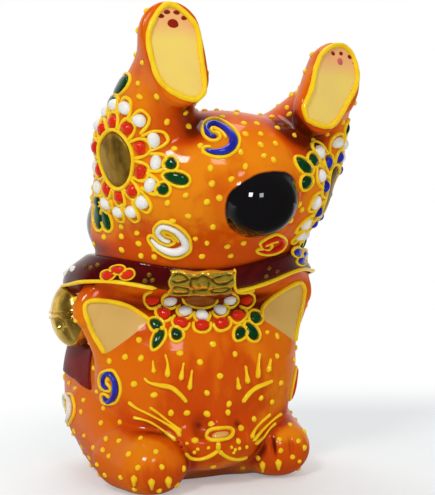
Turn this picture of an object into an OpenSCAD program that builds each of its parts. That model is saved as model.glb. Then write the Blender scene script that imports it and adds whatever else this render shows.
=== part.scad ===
// Lucky cat figurine resting on its forepaws with its hind feet in the air.
// Hollow porcelain forms carry raised enamel lines, beads, leaves and gilding.
// Millimetres, +Z up, the cat looks towards -Y, the origin is on the floor under the middle.
// "left" and "right" are as seen from the front.

/* [Porcelain] */
// Wall of the hollow forms
wall = 3; // [2:0.5:5]
// Radius of the vent hole in the base
vent_r = 1.75; // [1:0.25:2]
// How softly neighbouring forms run into each other
melt = 1.5; // [0.5:0.1:3]

/* [Trunk] */
// Half width, half depth and half height of the chest
chest_r = [29, 26.2, 33];
// Middle of the chest
chest_c = [0, 4, 23];
// Half sizes of the shoulders under the collar
shoulder_r = [32.3, 23.6, 9.2];
// Middle of the shoulders
shoulder_c = [0, -7.8, 50.8];
// Half sizes of the loin above the collar
loin_r = [28.4, 23.5, 14];
// Middle of the loin
loin_c = [0, -12.5, 63.5];
// Half sizes of the rump
rump_r = [29.8, 27.5, 18.6];
// Middle of the rump
rump_c = [0, -21.8, 73];

/* [Head] */
// Half sizes of the skull
skull_r = [27, 17.6, 21];
// Middle of the skull
skull_c = [0, -12, 27.5];
// Half sizes of one cheek
cheek_r = [11.4, 10.9, 14.8];
// Half sizes of the muzzle
muzzle_r = [13.5, 9.8, 7.2];
// Middle of the muzzle, set a little to one side because the head is turned
muzzle_c = [-2, -21.5, 11];
// Radius of each ear at its root, left and right
ear_root_r = [11.6, 9.6];
// Radius of each ear at its tip
ear_tip_r = [5.2, 3.6];

/* [Limbs] */
// Radius of a foreleg at the shoulder
foreleg_r = 13.4; // [10:0.2:16]
// Radius of a foreleg at the wrist
wrist_r = 8.3; // [6:0.1:10]
// Radius of a hind leg at the hip
hip_r = 11.6; // [9:0.2:14]
// Radius of a hind leg at the ankle
ankle_r = 6.4; // [5:0.1:8]
// Radius of each hind foot at the toes, left and right
foot_r = [7, 7.5];
// Radius of each hind foot at the heel
heel_r = [6.2, 6.1];
// Half sizes of the ball tail
tail_r = [8.5, 7, 7.1];
// Middle of the ball tail
tail_c = [-0.4, -47, 67.6];

/* [Collar] */
// Thickness of the collar over the shoulders
collar_t = 1.2; // [0.6:0.1:2]
// Lift of the lower edge of the collar
collar_lift = 0; // [-1:0.1:1]
// Thickness of the bib
bib_t = 0.9; // [0.5:0.1:1.5]
// Height of the lower hem of the bib
bib_hem_z = 22; // [16:1:30]

/* [Enamel] */
// Width of a raised enamel line
line_w = 1.5; // [1:0.1:2.2]
// Height of a raised enamel line
line_h = 0.8; // [0.4:0.1:1.2]
// Radius of an enamel bead
bead_r = 1.75; // [1.2:0.05:2.4]
// Half sizes of the gilt disc on a flank
disc_r = [4.6, 6.2];
// Half sizes of the inner ring of beads
inner_r = [7, 8.6];
// Half sizes of the outer ring of beads
outer_r = [10, 12.3];
// Beads in the inner ring, left and right
inner_beads = [10, 8];
// Beads in the outer ring, left and right
outer_beads = [15, 12];
// Beads in the lower row of the garland
garland_beads = 7; // [5:2:9]

/* [Hidden] */
big = 200;
$fn = 48;
// Search distance of a loft's rays, and how far below its first guess a seat looks for the surface
ray = 60;
seat_dig = 9;
// Top of the trunk, the middle of its base and the middle of the head
trunk_top = 91.55;
vent_at = [0, 12];
head_middle = [-1, -12, 21];
// Middle of each cheek; nose tip from the middle of the muzzle, and its half sizes
cheek_c = [[-13, -13.7, 14.5], [11.6, -13.7, 14.5]];
nose_from_muzzle = [-0.8, -6.2, 1.4];
nose_r = [3.8, 3.4, 2.6];
// Half sizes of a forepaw, and how much slimmer the right foreleg is than the left
paw_r = [8.9, 9.2, 7.4];
foreleg_slimmer = 0.8;
// How much flatter an ear is from front to back than from side to side
ear_flat = 1.4;
// Backward or forward lean in degrees of the shoulders, the loin and the rump
shoulder_lean = -8;
loin_lean = 16;
rump_lean = -6;

// ---- forms given as signed distances: below zero is inside the clay ----
function lean(p, t) = [p.x, p.y * cos(t) + p.z * sin(t), p.z * cos(t) - p.y * sin(t)];
function blob(p, c, r, t = 0) =
    let (q = lean(p - c, t),
         a = norm([q.x / r.x, q.y / r.y, q.z / r.z]),
         b = norm([q.x / r.x / r.x, q.y / r.y / r.y, q.z / r.z / r.z]))
    a * (a - 1) / max(b, 0.000001);
function limb(p, a, b, ra, rb) =
    let (d = b - a, t = max(0, min(1, (p - a) * d / (d * d))))
    norm(p - a - t * d) - ra - (rb - ra) * t;
function melted(d) = let (m = min(d)) m - melt * ln([for (v = d) exp((m - v) / melt)] * [for (v = d) 1]);

function torso_form(p) = melted([
    blob(p, chest_c, chest_r), blob(p, shoulder_c, shoulder_r, shoulder_lean),
    blob(p, loin_c, loin_r, loin_lean), blob(p, rump_c, rump_r, rump_lean)]);
function head_form(p) = melted([
    blob(p, skull_c, skull_r), blob(p, muzzle_c, muzzle_r),
    blob(p, cheek_c[0], cheek_r), blob(p, cheek_c[1], cheek_r),
    blob(p, muzzle_c + nose_from_muzzle, nose_r)]);

// Each pair of limbs is almost a mirror image; the small differences are from the hand of the maker.
ear_root = [[-18.2, -13.4, 36.2], [16.8, -15.5, 35.8]];
ear_tip = [[-29.3, -15.4, 43.7], [27.7, -17.2, 46.4]];
shoulder_joint = [[-17.5, -2, 16.5], [21.5, 4, 12.5]];
wrist = [[-21.3, -15.4, 8.6], [20, -13.5, 8]];
paw = [[-18.6, -23.2, 7], [17.3, -20.5, 7.2]];
hip = [[-20.5, -27.6, 83], [20.5, -30, 84]];
ankle = [[-20.7, -40.5, 100], [23, -39, 94.5]];
heel = [[-19.1, -45.4, 95.3], [16.2, -45.9, 90.4]];
toe = [[-21.7, -45.2, 105], [22.5, -44.4, 99.4]];
ear_face = [[-22.5, -21.6, 39], [22, -21.5, 40]];
ear_facing = [[-0.3, -1, 0.16], [0.3, -1, 0.16]];
sole_at = [[-21, -46.1, 98], [21, -45.5, 98]];
sole_facing = [[-0.1, -1, 0], [0.2, -1, 0.03]];

function ear_form(p, i) =
    let (a = ear_root[i], b = ear_tip[i],
         y = a.y + (b.y - a.y) * max(0, min(1, (p.z - a.z) / (b.z - a.z))))
    max(limb([p.x, y + (p.y - y) * ear_flat, p.z], a, b, ear_root_r[i], ear_tip_r[i]),
        (p - ear_face[i]) * unit(ear_facing[i]));
function foreleg_form(p, i) = melted([
    limb(p, shoulder_joint[i], wrist[i], foreleg_r - foreleg_slimmer * i, wrist_r),
    blob(p, paw[i], paw_r)]);
function hind_leg_form(p, i) = melted([
    limb(p, hip[i], ankle[i], hip_r, ankle_r), limb(p, heel[i], toe[i], heel_r[i], foot_r[i])]);
function face_form(p) = melted([head_form(p), ear_form(p, 0), ear_form(p, 1)]);
function back_form(p) = melted([torso_form(p), hind_leg_form(p, 0), hind_leg_form(p, 1)]);

// ---- lofts: every ring of a loft is found where its rays meet the form ----
function reach(form, o, u, near, far, n = 15) =
    n == 0 ? (near + far) / 2 :
    let (m = (near + far) / 2)
    form(o + u * m) < 0 ? reach(form, o, u, m, far, n - 1) : reach(form, o, u, near, m, n - 1);
function unit(v) = v / norm(v);
function ring_faces(rows, cols) = concat(
    [for (i = [0:cols - 1]) [0, 1 + i, 1 + (i + 1) % cols]],
    [for (j = [0:rows - 2], i = [0:cols - 1])
        let (a = 1 + j * cols + i, b = 1 + j * cols + (i + 1) % cols)
        each [[a, a + cols, b], [b, a + cols, b + cols]]],
    [for (i = [0:cols - 1]) let (a = 1 + (rows - 1) * cols) [a + i, 1 + rows * cols, a + (i + 1) % cols]]);

// Loft of rings square to the axis from a to b, rounding off at both ends.
module limb_loft(form, a, b, rows, cols) {
    k = unit(b - a);
    s = unit(cross(k, [0, 1, 0.01]));
    t = cross(k, s);
    lo = a - k * reach(form, a, -k, 0, ray);
    hi = b + k * reach(form, b, k, 0, ray);
    pts = [for (j = [1:rows], i = [0:cols - 1])
        let (o = lo + (hi - lo) * (1 - cos(180 * j / (rows + 1))) / 2,
             u = s * cos(360 * i / cols) + t * sin(360 * i / cols))
        o + u * reach(form, o, u, 0, ray)];
    polyhedron(concat([lo], pts, [hi]), ring_faces(rows, cols));
}

// Loft of level rings about an upright spine; spine is a lookup table of y against z.
module standing_loft(form, spine, z0, z1, rows, cols) {
    pts = [for (j = [0:rows - 1], i = [0:cols - 1])
        let (z = z0 + (z1 - z0) * sin(90 * j / rows), o = [0, lookup(z, spine), z],
             u = [cos(360 * i / cols), sin(360 * i / cols), 0])
        o + u * reach(form, o, u, 0, ray)];
    foot = [0, lookup(z0, spine), z0];
    crown = [0, lookup(z1, spine), z1];
    polyhedron(concat([foot], pts, [crown]), ring_faces(rows, cols));
}

// Loft of rays spreading from one inner point, pole upwards.
module round_loft(form, o, rows, cols) {
    pts = [for (j = [1:rows], i = [0:cols - 1])
        let (e = -90 + 180 * j / (rows + 1), a = 360 * i / cols,
             u = [cos(e) * cos(a), cos(e) * sin(a), sin(e)])
        o + u * reach(form, o, u, 0, ray)];
    foot = o - [0, 0, reach(form, o, [0, 0, -1], 0, ray)];
    crown = o + [0, 0, reach(form, o, [0, 0, 1], 0, ray)];
    polyhedron(concat([foot], pts, [crown]), ring_faces(rows, cols));
}

// Keeps a piece cut from lofts as one continuous skin.
module one_skin() { resize([0, 0, 0]) children(); }

// The trunk curls forward from the floor to the rump: y of its spine against height.
spine = [[0, 4], [23, 4], [50.8, -7.8], [63.5, -12.5], [73, -21.8], [trunk_top, -24]];
module torso_outer(extra = 0) {
    standing_loft(function(p) torso_form(p) - extra, spine, 0, trunk_top + extra, 22, 32);
}
module torso_inner() {
    standing_loft(function(p) torso_form(p) + wall, spine, wall, trunk_top - wall, 10, 20);
}
module head_solid() { round_loft(function(p) head_form(p), head_middle, 20, 32); }
module head_hollow() { round_loft(function(p) head_form(p) + wall, head_middle, 9, 16); }
module below_floor() { translate([-big / 2, -big / 2, -big]) cube(big); }

module torso_shell() {
    color("darkorange") one_skin() difference() {
        torso_outer();
        torso_inner();
        translate([vent_at.x, vent_at.y, -1]) cylinder(r = vent_r, h = wall + 4);
    }
}

module head_shell() {
    color("darkorange") one_skin() difference() {
        head_solid();
        head_hollow();
        torso_outer();
        below_floor();
    }
}

module ear(i) {
    color("peru") one_skin() difference() {
        limb_loft(function(p) ear_form(p, i), ear_root[i], ear_tip[i], 10, 20);
        head_solid();
        torso_outer();
    }
}
module ear_left() { ear(0); }
module ear_right() { ear(1); }

module foreleg_solid(i) {
    limb_loft(function(p) foreleg_form(p, i), shoulder_joint[i], paw[i], 13, 20);
}
module foreleg(i) {
    color("darkorange") one_skin() difference() {
        foreleg_solid(i);
        head_solid();
        torso_outer();
        below_floor();
    }
}
module foreleg_left() { foreleg(0); }
module foreleg_right() { foreleg(1); }

module hind_leg(i) {
    color("orange") one_skin() difference() {
        limb_loft(function(p) hind_leg_form(p, i), hip[i] - [0, 3, 0], toe[i], 15, 20);
        torso_outer();
        seated([sole_at[i], unit(sole_facing[i])]) translate([-big / 4, -big / 4, 0]) cube(big / 2);
    }
}
module hind_leg_left() { hind_leg(0); }
module hind_leg_right() { hind_leg(1); }

module tail_ball() {
    color("black") one_skin() difference() {
        translate(tail_c) rotate([0, -20, 0]) scale(tail_r) sphere(1, $fn = 22);
        torso_outer();
    }
}

// The collar lies round the neck like a low cape. Its edges rise and fall with the bearing:
// 0 degrees is the front, positive towards the right, heights in millimetres.
neck = [0, -7.8];
collar_low = [[-180, 48], [-120, 48.5], [-92, 49.4], [-66, 50.7], [-51, 49.5], [-43, 48.3],
              [-18, 46.6], [6, 47.6], [18, 48.3], [30, 50.3], [48, 52.6], [70, 52],
              [100, 49.8], [140, 48], [180, 48]];
collar_high = [[-180, 57.5], [-100, 57.6], [-76, 57.1], [-56, 55.7], [-36, 53.7], [-20, 52.9], [-2, 53.2],
               [19, 55.5], [34, 57.1], [60, 58], [110, 57.6], [180, 57.5]];
function from_neck(form, a, z) =
    let (o = [neck.x, neck.y, z], u = [sin(a), -cos(a), 0]) o + u * reach(form, o, u, 0, ray);
// A ring over the shoulders, this thick outside the trunk and bedded this deep in it,
// from the lower edge of the collar up to the given height.
module shoulder_ring(thick, bed, top) {
    rows = 4;
    cols = 36;
    outer = function(p) torso_form(p) - thick;
    inner = function(p) torso_form(p) + bed;
    turns = [for (i = [0:cols - 1]) -180 + 360 * i / cols];
    pts = [for (j = [0:2 * rows - 1], a = turns)
        let (k = j < rows ? j : 2 * rows - 1 - j,
             low = lookup(a, collar_low) + collar_lift, high = lookup(a, top))
        from_neck(j < rows ? outer : inner, a, low + (high - low) * k / (rows - 1))];
    polyhedron(pts, [for (j = [0:2 * rows - 1], i = [0:cols - 1])
        let (n = 2 * rows, p = j * cols + i, q = j * cols + (i + 1) % cols,
             r = ((j + 1) % n) * cols + i, t = ((j + 1) % n) * cols + (i + 1) % cols)
        each [[p, r, q], [q, r, t]]]);
}
collar_bed = 0.7;
module collar_band() {
    color("maroon") one_skin() difference() {
        shoulder_ring(collar_t, collar_bed, collar_high);
        torso_outer();
    }
}

// The bib hangs from the collar over the sides and the back of the chest, down to a curved hem.
bib_front_y = -10;
bib_back_y = 60;
bib_top = 53;
hem_curve_r = [84, 60];
collar_cut = 3;
collar_cut_bed = 2;
module bib() {
    color("brown") one_skin() difference() {
        intersection() {
            torso_outer(bib_t);
            translate([0, bib_back_y, 0]) rotate([90, 0, 0])
                linear_extrude(bib_back_y - bib_front_y) bib_outline();
        }
        torso_outer();
        shoulder_ring(collar_cut, collar_cut_bed, [[-180, 60], [180, 60]]);
        linear_extrude(big) before_the_neck();
        foreleg_solid(0);
        foreleg_solid(1);
        head_solid();
    }
}
module before_the_neck() {
    polygon([[neck.x, neck.y], [-big, -big / 3], [-big, -big], [big, -big], [big, -big / 3]]);
}
module bib_outline() {
    intersection() {
        translate([-big / 4, 0]) square([big / 2, bib_top]);
        translate([0, bib_hem_z + hem_curve_r.y]) scale(hem_curve_r) circle(r = 1, $fn = 72);
    }
}

// ---- seats: a point on a form with the outward direction there ----
function slope(form, p, e = 0.05) = unit([
    form(p + [e, 0, 0]) - form(p - [e, 0, 0]),
    form(p + [0, e, 0]) - form(p - [0, e, 0]),
    form(p + [0, 0, e]) - form(p - [0, 0, e])]);
function seat(form, p, n) =
    let (o = p - seat_dig * n, q = o + n * reach(form, o, n, 0, 2 * seat_dig)) [q, slope(form, q)];
function across(n) = unit(cross([0, 0, 1], n));
function oval_seat(form, c, n, ru, rv, a) =
    let (u = across(n), v = cross(n, u)) seat(form, c + u * ru * cos(a) + v * rv * sin(a), n);
// A bowed line of k steps from a to c, drawn towards b.
function bow(a, b, c, k = 6) = [for (i = [0:k])
    let (t = i / k) a * (1 - t) * (1 - t) + b * 2 * t * (1 - t) + c * t * t];
// Seats on the front of the face for points given across and up.
face_y = -24;
function on_face(path) = [for (q = path) seat(function(p) face_form(p), [q.x, face_y, q.y], [0, -1, 0])];
module seated(s) { translate(s[0]) rotate([0, acos(s[1].z), atan2(s[1].y, s[1].x)]) children(); }

// A bead of enamel: the cap of a ball standing on the glaze.
module bead(s, r) {
    seated(s) difference() {
        translate([0, 0, -0.25 * r]) sphere(r);
        translate([-2 * r, -2 * r, -4 * r - 0.05]) cube(4 * r);
    }
}

// A leaf of enamel, pointing along the given turn about the outward direction.
// Each level is a share of its size and a share of its height; one end is fuller than the other.
leaf_levels = [[1, 0.15], [0.86, 0.7], [0.48, 1]];
leaf_fuller = 0.2;
module leaf(s, turn, length = 5, width = 2.2, height = 1) {
    cols = 8;
    low = [0, 0, -0.25];
    pts = [for (q = leaf_levels, i = [0:cols - 1])
        let (a = 360 * i / cols, half = q[0] / 2)
        [half * length * cos(a), half * width * sin(a) * (1 + leaf_fuller * cos(a)), q[1] * height]];
    seated(s) rotate([0, 0, turn])
        polyhedron(concat([low], pts, [[0, 0, height * 1.1]]), ring_faces(len(leaf_levels), cols));
}

// A raised line that follows a path of seats, like slip drawn out thin from a nozzle.
// Its width is one number, or a list of widths spread evenly from its start to its end.
line_section = [[-0.5, -0.12], [-0.33, 0.8], [0.33, 0.8], [0.5, -0.12]];
module enamel_line(path, closed = false, w = line_w, h = line_h) {
    m = len(path);
    k = len(line_section);
    widths = is_list(w) ? [for (i = [0:len(w) - 1]) [i / (len(w) - 1), w[i]]] : [[0, w], [1, w]];
    pts = [for (i = [0:m - 1])
        let (before = path[closed ? (i + m - 1) % m : max(i - 1, 0)][0],
             after = path[closed ? (i + 1) % m : min(i + 1, m - 1)][0],
             n = path[i][1], s = unit(cross(after - before, n)), wide = lookup(i / (m - 1), widths))
        for (q = line_section) path[i][0] + s * q.x * wide + n * q.y * h];
    sides = [for (i = [0:m - (closed ? 1 : 2)], j = [0:k - 1])
        let (next = ((i + 1) % m) * k, h = (j + 1) % k,
             a = i * k + j, b = i * k + h, c = next + j, d = next + h)
        each [[a, c, b], [b, c, d]]];
    caps = closed ? [] : [[for (j = [0:k - 1]) j], [for (j = [k - 1:-1:0]) (m - 1) * k + j]];
    polyhedron(pts, concat(sides, caps));
}

// ---- gilding at the neck ----
plaque_n = unit([-0.3, -0.86, -0.42]);
plaque_c = [-7.9, -31, 49.9];
plaque_half = [8.7, 3.5];
// Each coin pressed into the plaque: middle across and up, half width, half height.
coins = [[-6.2, 1.7, 1.9, 1.5], [-6, -1.8, 2, 1.4], [-0.4, 0.1, 3, 3],
         [5.6, 0.9, 2.5, 2.1], [5.7, -2.2, 2.2, 0.9]];
// A coin swells in its middle and has a groove about its rim.
function coin_share(d) = 0.8 * max(0, 0.75 - d) - 1.5 * max(0, min(0.3, 1.15 - d));
function coin_relief(u, v) =
    [for (c = coins) coin_share(norm([(u - c[0]) / c[2], (v - c[1]) / c[3]]))] * [for (c = coins) 1];
plaque_edge = 0.25;
plaque_t = 1.2;
// The plaque is a slab that follows the collar, with coins in low relief and a thin edge.
module nape_plaque() {
    cols = 17;
    rows = 7;
    over = function(p) torso_form(p) - collar_t;
    u = across(plaque_n);
    v = cross(plaque_n, u);
    seats = [for (j = [0:rows - 1], i = [0:cols - 1])
        let (x = plaque_half.x * (2 * i / (cols - 1) - 1), y = plaque_half.y * (2 * j / (rows - 1) - 1),
             at_rim = i == 0 || j == 0 || i == cols - 1 || j == rows - 1)
        [seat(over, plaque_c + u * x + v * y, plaque_n),
         at_rim ? plaque_edge : plaque_t + coin_relief(x, y) / 2]];
    n = cols * rows;
    top = [for (q = seats) q[0][0] + q[0][1] * q[1]];
    low = [for (q = seats) q[0][0] - q[0][1] * 0.3];
    quads = [for (j = [0:rows - 2], i = [0:cols - 2])
        let (a = j * cols + i) [a, a + cols, a + cols + 1, a + 1]];
    rim = concat([for (i = [0:cols - 2]) i],
                 [for (j = [0:rows - 2]) (j + 1) * cols - 1],
                 [for (i = [cols - 1:-1:1]) (rows - 1) * cols + i],
                 [for (j = [rows - 1:-1:1]) j * cols]);
    color("gold") polyhedron(concat(top, low), concat(
        [for (f = quads) each [[f[0], f[1], f[2]], [f[0], f[2], f[3]]]],
        [for (f = quads) each [[f[2] + n, f[1] + n, f[0] + n], [f[3] + n, f[2] + n, f[0] + n]]],
        [for (k = [0:len(rim) - 1])
            let (a = rim[k], b = rim[(k + 1) % len(rim)]) each [[a, b, a + n], [b, b + n, a + n]]]));
}

// The bell hangs on the shoulder: a ball with a belt round it, a loop above and a slot below.
bell_at = [-29.4, -1.8, 42.3];
bell_r = [5.9, 7, 8.4];
belt_out = 0.4;
belt_h = 1.5;
loop_r = [2, 2.6, 2];
loop_z = 7.6;
slot_z = [-2.2, -7];
slot_r = 0.9;
slot_turn = 28;
module bell() {
    color("gold") one_skin() difference() {
        union() {
            translate(bell_at) scale(bell_r) sphere(1, $fn = 20);
            translate(bell_at - [0, 0, belt_h / 2]) scale([bell_r.x + belt_out, bell_r.y + belt_out, 1])
                cylinder(r = 1, h = belt_h, $fn = 20);
            translate(bell_at + [0, 0, loop_z]) rotate([0, 0, 20]) scale(loop_r) sphere(1, $fn = 14);
        }
        torso_outer();
        translate(bell_at) rotate([0, 0, slot_turn]) hull() for (z = slot_z)
            translate([-bell_r.x - 0.6, 0, z]) sphere(slot_r, $fn = 10);
    }
}

// ---- flower on each flank ----
flank_n = [unit([-0.87, -0.46, -0.1]), unit([0.82, -0.53, -0.2])];
flank_c = [[-28.6, -31, 78.4], [27, -38.3, 71.3]];
ring_start = [18, 2];
outer_start = ring_start - [21, 21];
function flank_seat(i, ru, rv, a) =
    oval_seat(function(p) back_form(p), flank_c[i], flank_n[i], ru * (i == 0 ? 1 : -1), rv, a);

// A low cushion that lies snugly on the curve of the flank.
disc_h = 0.7;
disc_bed = 0.12;
module flank_discs() {
    color("goldenrod") for (i = [0, 1]) flank_disc(i);
}
module flank_disc(i) {
    rows = 2;
    cols = 18;
    grid = [for (j = [0:rows - 1], a = [0:cols - 1])
        let (t = 1 - j / rows, s = flank_seat(i, disc_r.x * t, disc_r.y * t, 360 * a / cols))
        [s, disc_h * sqrt(1 - t * t)]];
    mid = flank_seat(i, 0, 0, 0);
    top = [for (g = grid) g[0][0] + g[0][1] * g[1]];
    low = [for (g = grid) g[0][0] - g[0][1] * disc_bed];
    n = rows * cols;
    up = [for (j = [0:rows - 2], a = [0:cols - 1]) let (p = j * cols + a, q = j * cols + (a + 1) % cols)
        each [[p, q, p + cols], [q, q + cols, p + cols]]];
    cap = [for (a = [0:cols - 1]) let (b = (rows - 1) * cols) [b + a, b + (a + 1) % cols, 2 * n]];
    under = [for (f = concat(up, cap)) [for (v = [2:-1:0]) f[v] + (f[v] == 2 * n ? 1 : n)]];
    rim = [for (a = [0:cols - 1]) let (q = (a + 1) % cols) each [[a, n + a, q], [q, n + a, n + q]]];
    faces = concat(up, cap, under, rim);
    polyhedron(concat(top, low, [mid[0] + mid[1] * disc_h, mid[0] - mid[1] * disc_bed]),
               i == 0 ? [for (f = faces) [f[2], f[1], f[0]]] : faces);
}
module flank_inner_beads(i) {
    for (b = [0:inner_beads[i] - 1])
        bead(flank_seat(i, inner_r.x, inner_r.y, ring_start[i] + 360 * b / inner_beads[i]), bead_r * 0.93);
}
module flank_red_beads() { color("red") flank_inner_beads(0); }
module flank_blue_beads() { color("blue") flank_inner_beads(1); }
module flank_outer_beads() {
    color("white") for (i = [0, 1], b = [0:outer_beads[i] - 1])
        bead(flank_seat(i, outer_r.x, outer_r.y, outer_start[i] + 360 * b / outer_beads[i]), bead_r * 1.04);
}
// A ring of scallops, one round the outer side of each bead.
module scallops(i, r, beads, start, w) {
    per_bead = 4;
    enamel_line([for (k = [0:beads * per_bead - 1])
        let (a = start + 360 * k / beads / per_bead, swell = 0.9 * cos(360 * k / per_bead))
        flank_seat(i, r.x + swell, r.y + swell, a)], true, w);
}
module flank_petal_lines() {
    color("gold") for (i = [0, 1]) {
        scallops(i, outer_r + [1.6, 1.6], outer_beads[i], outer_start[i], 1.2);
        scallops(i, inner_r + [1.3, 1.3], inner_beads[i], ring_start[i], 1);
        enamel_line([for (a = [0:18:342]) flank_seat(i, disc_r.x + 0.5, disc_r.y + 0.5, a)],
                    true, 1.1, 0.7);
    }
}
// Three sprays of leaves stand round the ring. Each leaf: bearing, distance beyond the beads,
// turn off the spoke, length, width.
sprays = [[12, 3.6, 55, 3.4, 2.4], [-8, 4.6, 0, 5.2, 2.6], [-27, 3.4, -40, 3, 2.4],
          [122, 3.2, 40, 3.2, 2], [104, 4.6, 10, 5.6, 2], [88, 3.4, -30, 3, 2],
          [-112, 4, 20, 4.8, 2], [-128, 4.6, 0, 5.2, 2], [-144, 3.4, -20, 3.4, 2]];
module flank_leaves() {
    color("darkgreen") for (i = [0, 1], q = sprays)
        let (way = i == 0 ? 1 : -1, r = outer_r + [q[1], q[1]],
             spoke = atan2(r.y * sin(q[0]), way * r.x * cos(q[0])))
        leaf(flank_seat(i, r.x, r.y, q[0]), 90 + spoke + way * q[2], q[3], q[4]);
}

// ---- garland over the brow: rows of half rings below one middle, half sizes across and down ----
garland_c = [-4.9, -23.5, 46.2];
garland_n = unit([-0.08, -1, 0.25]);
white_row = [8.8, 4.9];
red_row = [12.8, 7.6];
inner_row = [6.4, 2.8];
between_rows = [10.8, 6.2];
scallop_row = [14.8, 9.6];
scallop_swell = 0.5;
function garland_seat(r, a) = seat(function(p) min(head_form(p), torso_form(p)),
    garland_c + [r.x * cos(a), 0, r.y * sin(a)], garland_n);
module garland_white_beads() {
    color("white") for (b = [-2:2]) bead(garland_seat(white_row, 270 + 31 * b), bead_r * 0.92);
}
module garland_red_beads() {
    half = (garland_beads - 1) / 2;
    color("red") for (b = [-half:half]) bead(garland_seat(red_row, 270 + 77 * b / half), bead_r * 0.95);
}
module garland_line() {
    color("gold") {
        enamel_line([for (a = [186:7:354])
            let (swell = scallop_swell * cos(a * 14)) garland_seat(scallop_row + [swell, swell], a)]);
        enamel_line([for (a = [200:14:340]) garland_seat(inner_row, a)], false, 1.1, 0.6);
        enamel_line([for (a = [192:12:348]) garland_seat(between_rows, a)], false, 1, 0.6);
    }
}
// Leaves under the ears: place across and up, turn.
brow_leaves = [[-15.9, 40.3, 40], [-15.6, 37, 20], [-12, 37.6, -20],
               [4.4, 37.6, 20], [8.1, 37.4, -20], [10.8, 40.5, -50]];
module garland_leaves() {
    color("darkgreen") for (q = brow_leaves) leaf(on_face([[q.x, q.y]])[0], q.z, 4, 2.2);
}

// ---- lines of the face, ears, feet and collar; points of the face are across and up ----
// The rim of each ear, up its inner edge and down its outer one.
rim_paths = [
    concat(bow([-16.5, 40.4], [-24.5, 46.2], [-30.4, 46], 6),
           bow([-32.4, 44], [-32.3, 39], [-28.2, 33.2], 5)),
    concat(bow([14.4, 41], [21.5, 47.4], [26.8, 48], 6),
           bow([29.2, 46], [29.8, 41], [25.4, 33.4], 5))];
module ear_rims() {
    color("gold") for (path = rim_paths) enamel_line(on_face(path));
}
// Closed eyes.
eyes = [bow([-20.2, 27.3], [-13.4, 26.4], [-10.9, 21.5], 7), bow([3.5, 20.3], [6.2, 24.2], [13, 24.9], 7)];
// Brow strokes: place across, upper end, lower end. They swell downwards.
brow_strokes = [[-18, 31, 28.4], [-15.3, 33.3, 27.6], [-12.2, 30.8, 26.8], [-10.2, 28.9, 24.8],
                [2.3, 27, 24.1], [4.9, 29.2, 25.3], [8.3, 32, 25.8], [12.2, 30.8, 26.7]];
stroke_w = [0.6, 0.8, 1.5, 1.2];
// Whiskers: outer end, inner end. Each sags a little.
whiskers = [[[-22.6, 21.7], [-12.6, 13.6]], [[-19.1, 20.5], [-12.4, 15.4]], [[-21.6, 17.4], [-14, 11.6]],
            [[14.6, 17.6], [6.9, 12.3]], [[17, 15.6], [7.4, 10.4]]];
whisker_sag = [0.4, 0.6];
nose_at = [-3.2, 13.4];
nose_ring = [3.4, 1.8];
mouth = [bow([-10.6, 8.6], [-6, 5.6], [-3.4, 9.6], 5), bow([-2.8, 9.6], [-0.6, 5.2], [4, 7.6], 5)];
module face_lines() {
    color("gold") {
        for (path = eyes) enamel_line(on_face(path), false, 1.3);
        for (q = brow_strokes)
            enamel_line(on_face([for (k = [0:3]) [q.x, q[1] + (q[2] - q[1]) * k / 3]]), false, stroke_w);
        for (q = whiskers)
            enamel_line(on_face(bow(q[0], (q[0] + q[1]) / 2 - whisker_sag, q[1], 4)), false, 1.1);
        enamel_line(on_face([for (a = [0:36:324])
            nose_at + [nose_ring.x * cos(a), nose_ring.y * sin(a)]]), true, 1.2);
        for (path = mouth) enamel_line(on_face(path), false, 1.1);
    }
}
// The outline of a sole: half a ring round the toes and half a ring round the heel.
sole_inset = 1.5;
sole_heel_up = 0.6;
sole_toe_down = 0.3;
function sole_path(i) =
    let (n = unit(sole_facing[i]), s = sole_at[i],
         a = [heel[i].x, heel[i].z + sole_heel_up], b = [toe[i].x, toe[i].z - sole_toe_down],
         d = unit(b - a), w = [d.y, -d.x])
    [for (t = [0:30:330])
        let (r = (t < 180 ? foot_r[i] : heel_r[i]) - sole_inset,
             q = (t < 180 ? b : a) + w * r * cos(t) + d * r * sin(t),
             y = s.y - ((q.x - s.x) * n.x + (q.y - s.z) * n.z) / n.y)
        [[q.x, y, q.y], n]];
module sole_outlines() {
    color("gold") for (i = [0, 1]) enamel_line(sole_path(i), true);
}
// A comma of enamel curls in on itself: thin tail, full belly, blunt end. hand is 1 or -1.
comma_shrink = 0.68;
comma_sweep = 400;
comma_w = [0.7, 1.7, 2.3, 2.2, 1.7, 1.4, 1];
comma_h = 1.1;
function comma(form, c, n, r, first, hand) = [for (t = [0:0.07:1])
    let (rr = r * (1 - comma_shrink * t))
    oval_seat(form, c, unit(n), rr * hand, rr, first + comma_sweep * t)];
module comma_on_back(c, n, r, first, hand, w = comma_w) {
    enamel_line(comma(function(p) back_form(p), c, n, r, first, hand), false, w, comma_h);
}
module comma_on_cheek(c, n, hand) {
    enamel_line(comma(function(p) face_form(p), c, n, 3.6, 230, hand), false, comma_w * 0.8, comma_h);
}
module spirals_white() {
    color("white") comma_on_back([-17, -33.6, 60.2], [-0.5, -0.6, -0.6], 4.4, 170, 1);
}
module spirals_blue() {
    color("blue") {
        comma_on_back([-9.2, -45, 82], [-0.24, -0.8, 0.55], 4, 215, 1);
        comma_on_cheek([-26.2, -17.4, 25], [-0.85, -0.45, -0.1], 1);
    }
}
module spirals_red() {
    color("red") {
        comma_on_back([7.6, -36.6, 59], [0.25, -0.6, -0.7], 3.8, 40, -1, comma_w * 0.9);
        comma_on_cheek([24.6, -17, 25], [0.85, -0.45, -0.1], -1);
    }
}
trim_up = 0.4;
module collar_trim() {
    over = function(p) torso_form(p) - collar_t;
    path = [for (a = [-180:8:172])
        let (q = from_neck(over, a, lookup(a, collar_low) + collar_lift + trim_up)) [q, slope(over, q)]];
    color("gold") enamel_line(path, true, 1.4, 0.9);
}
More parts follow.
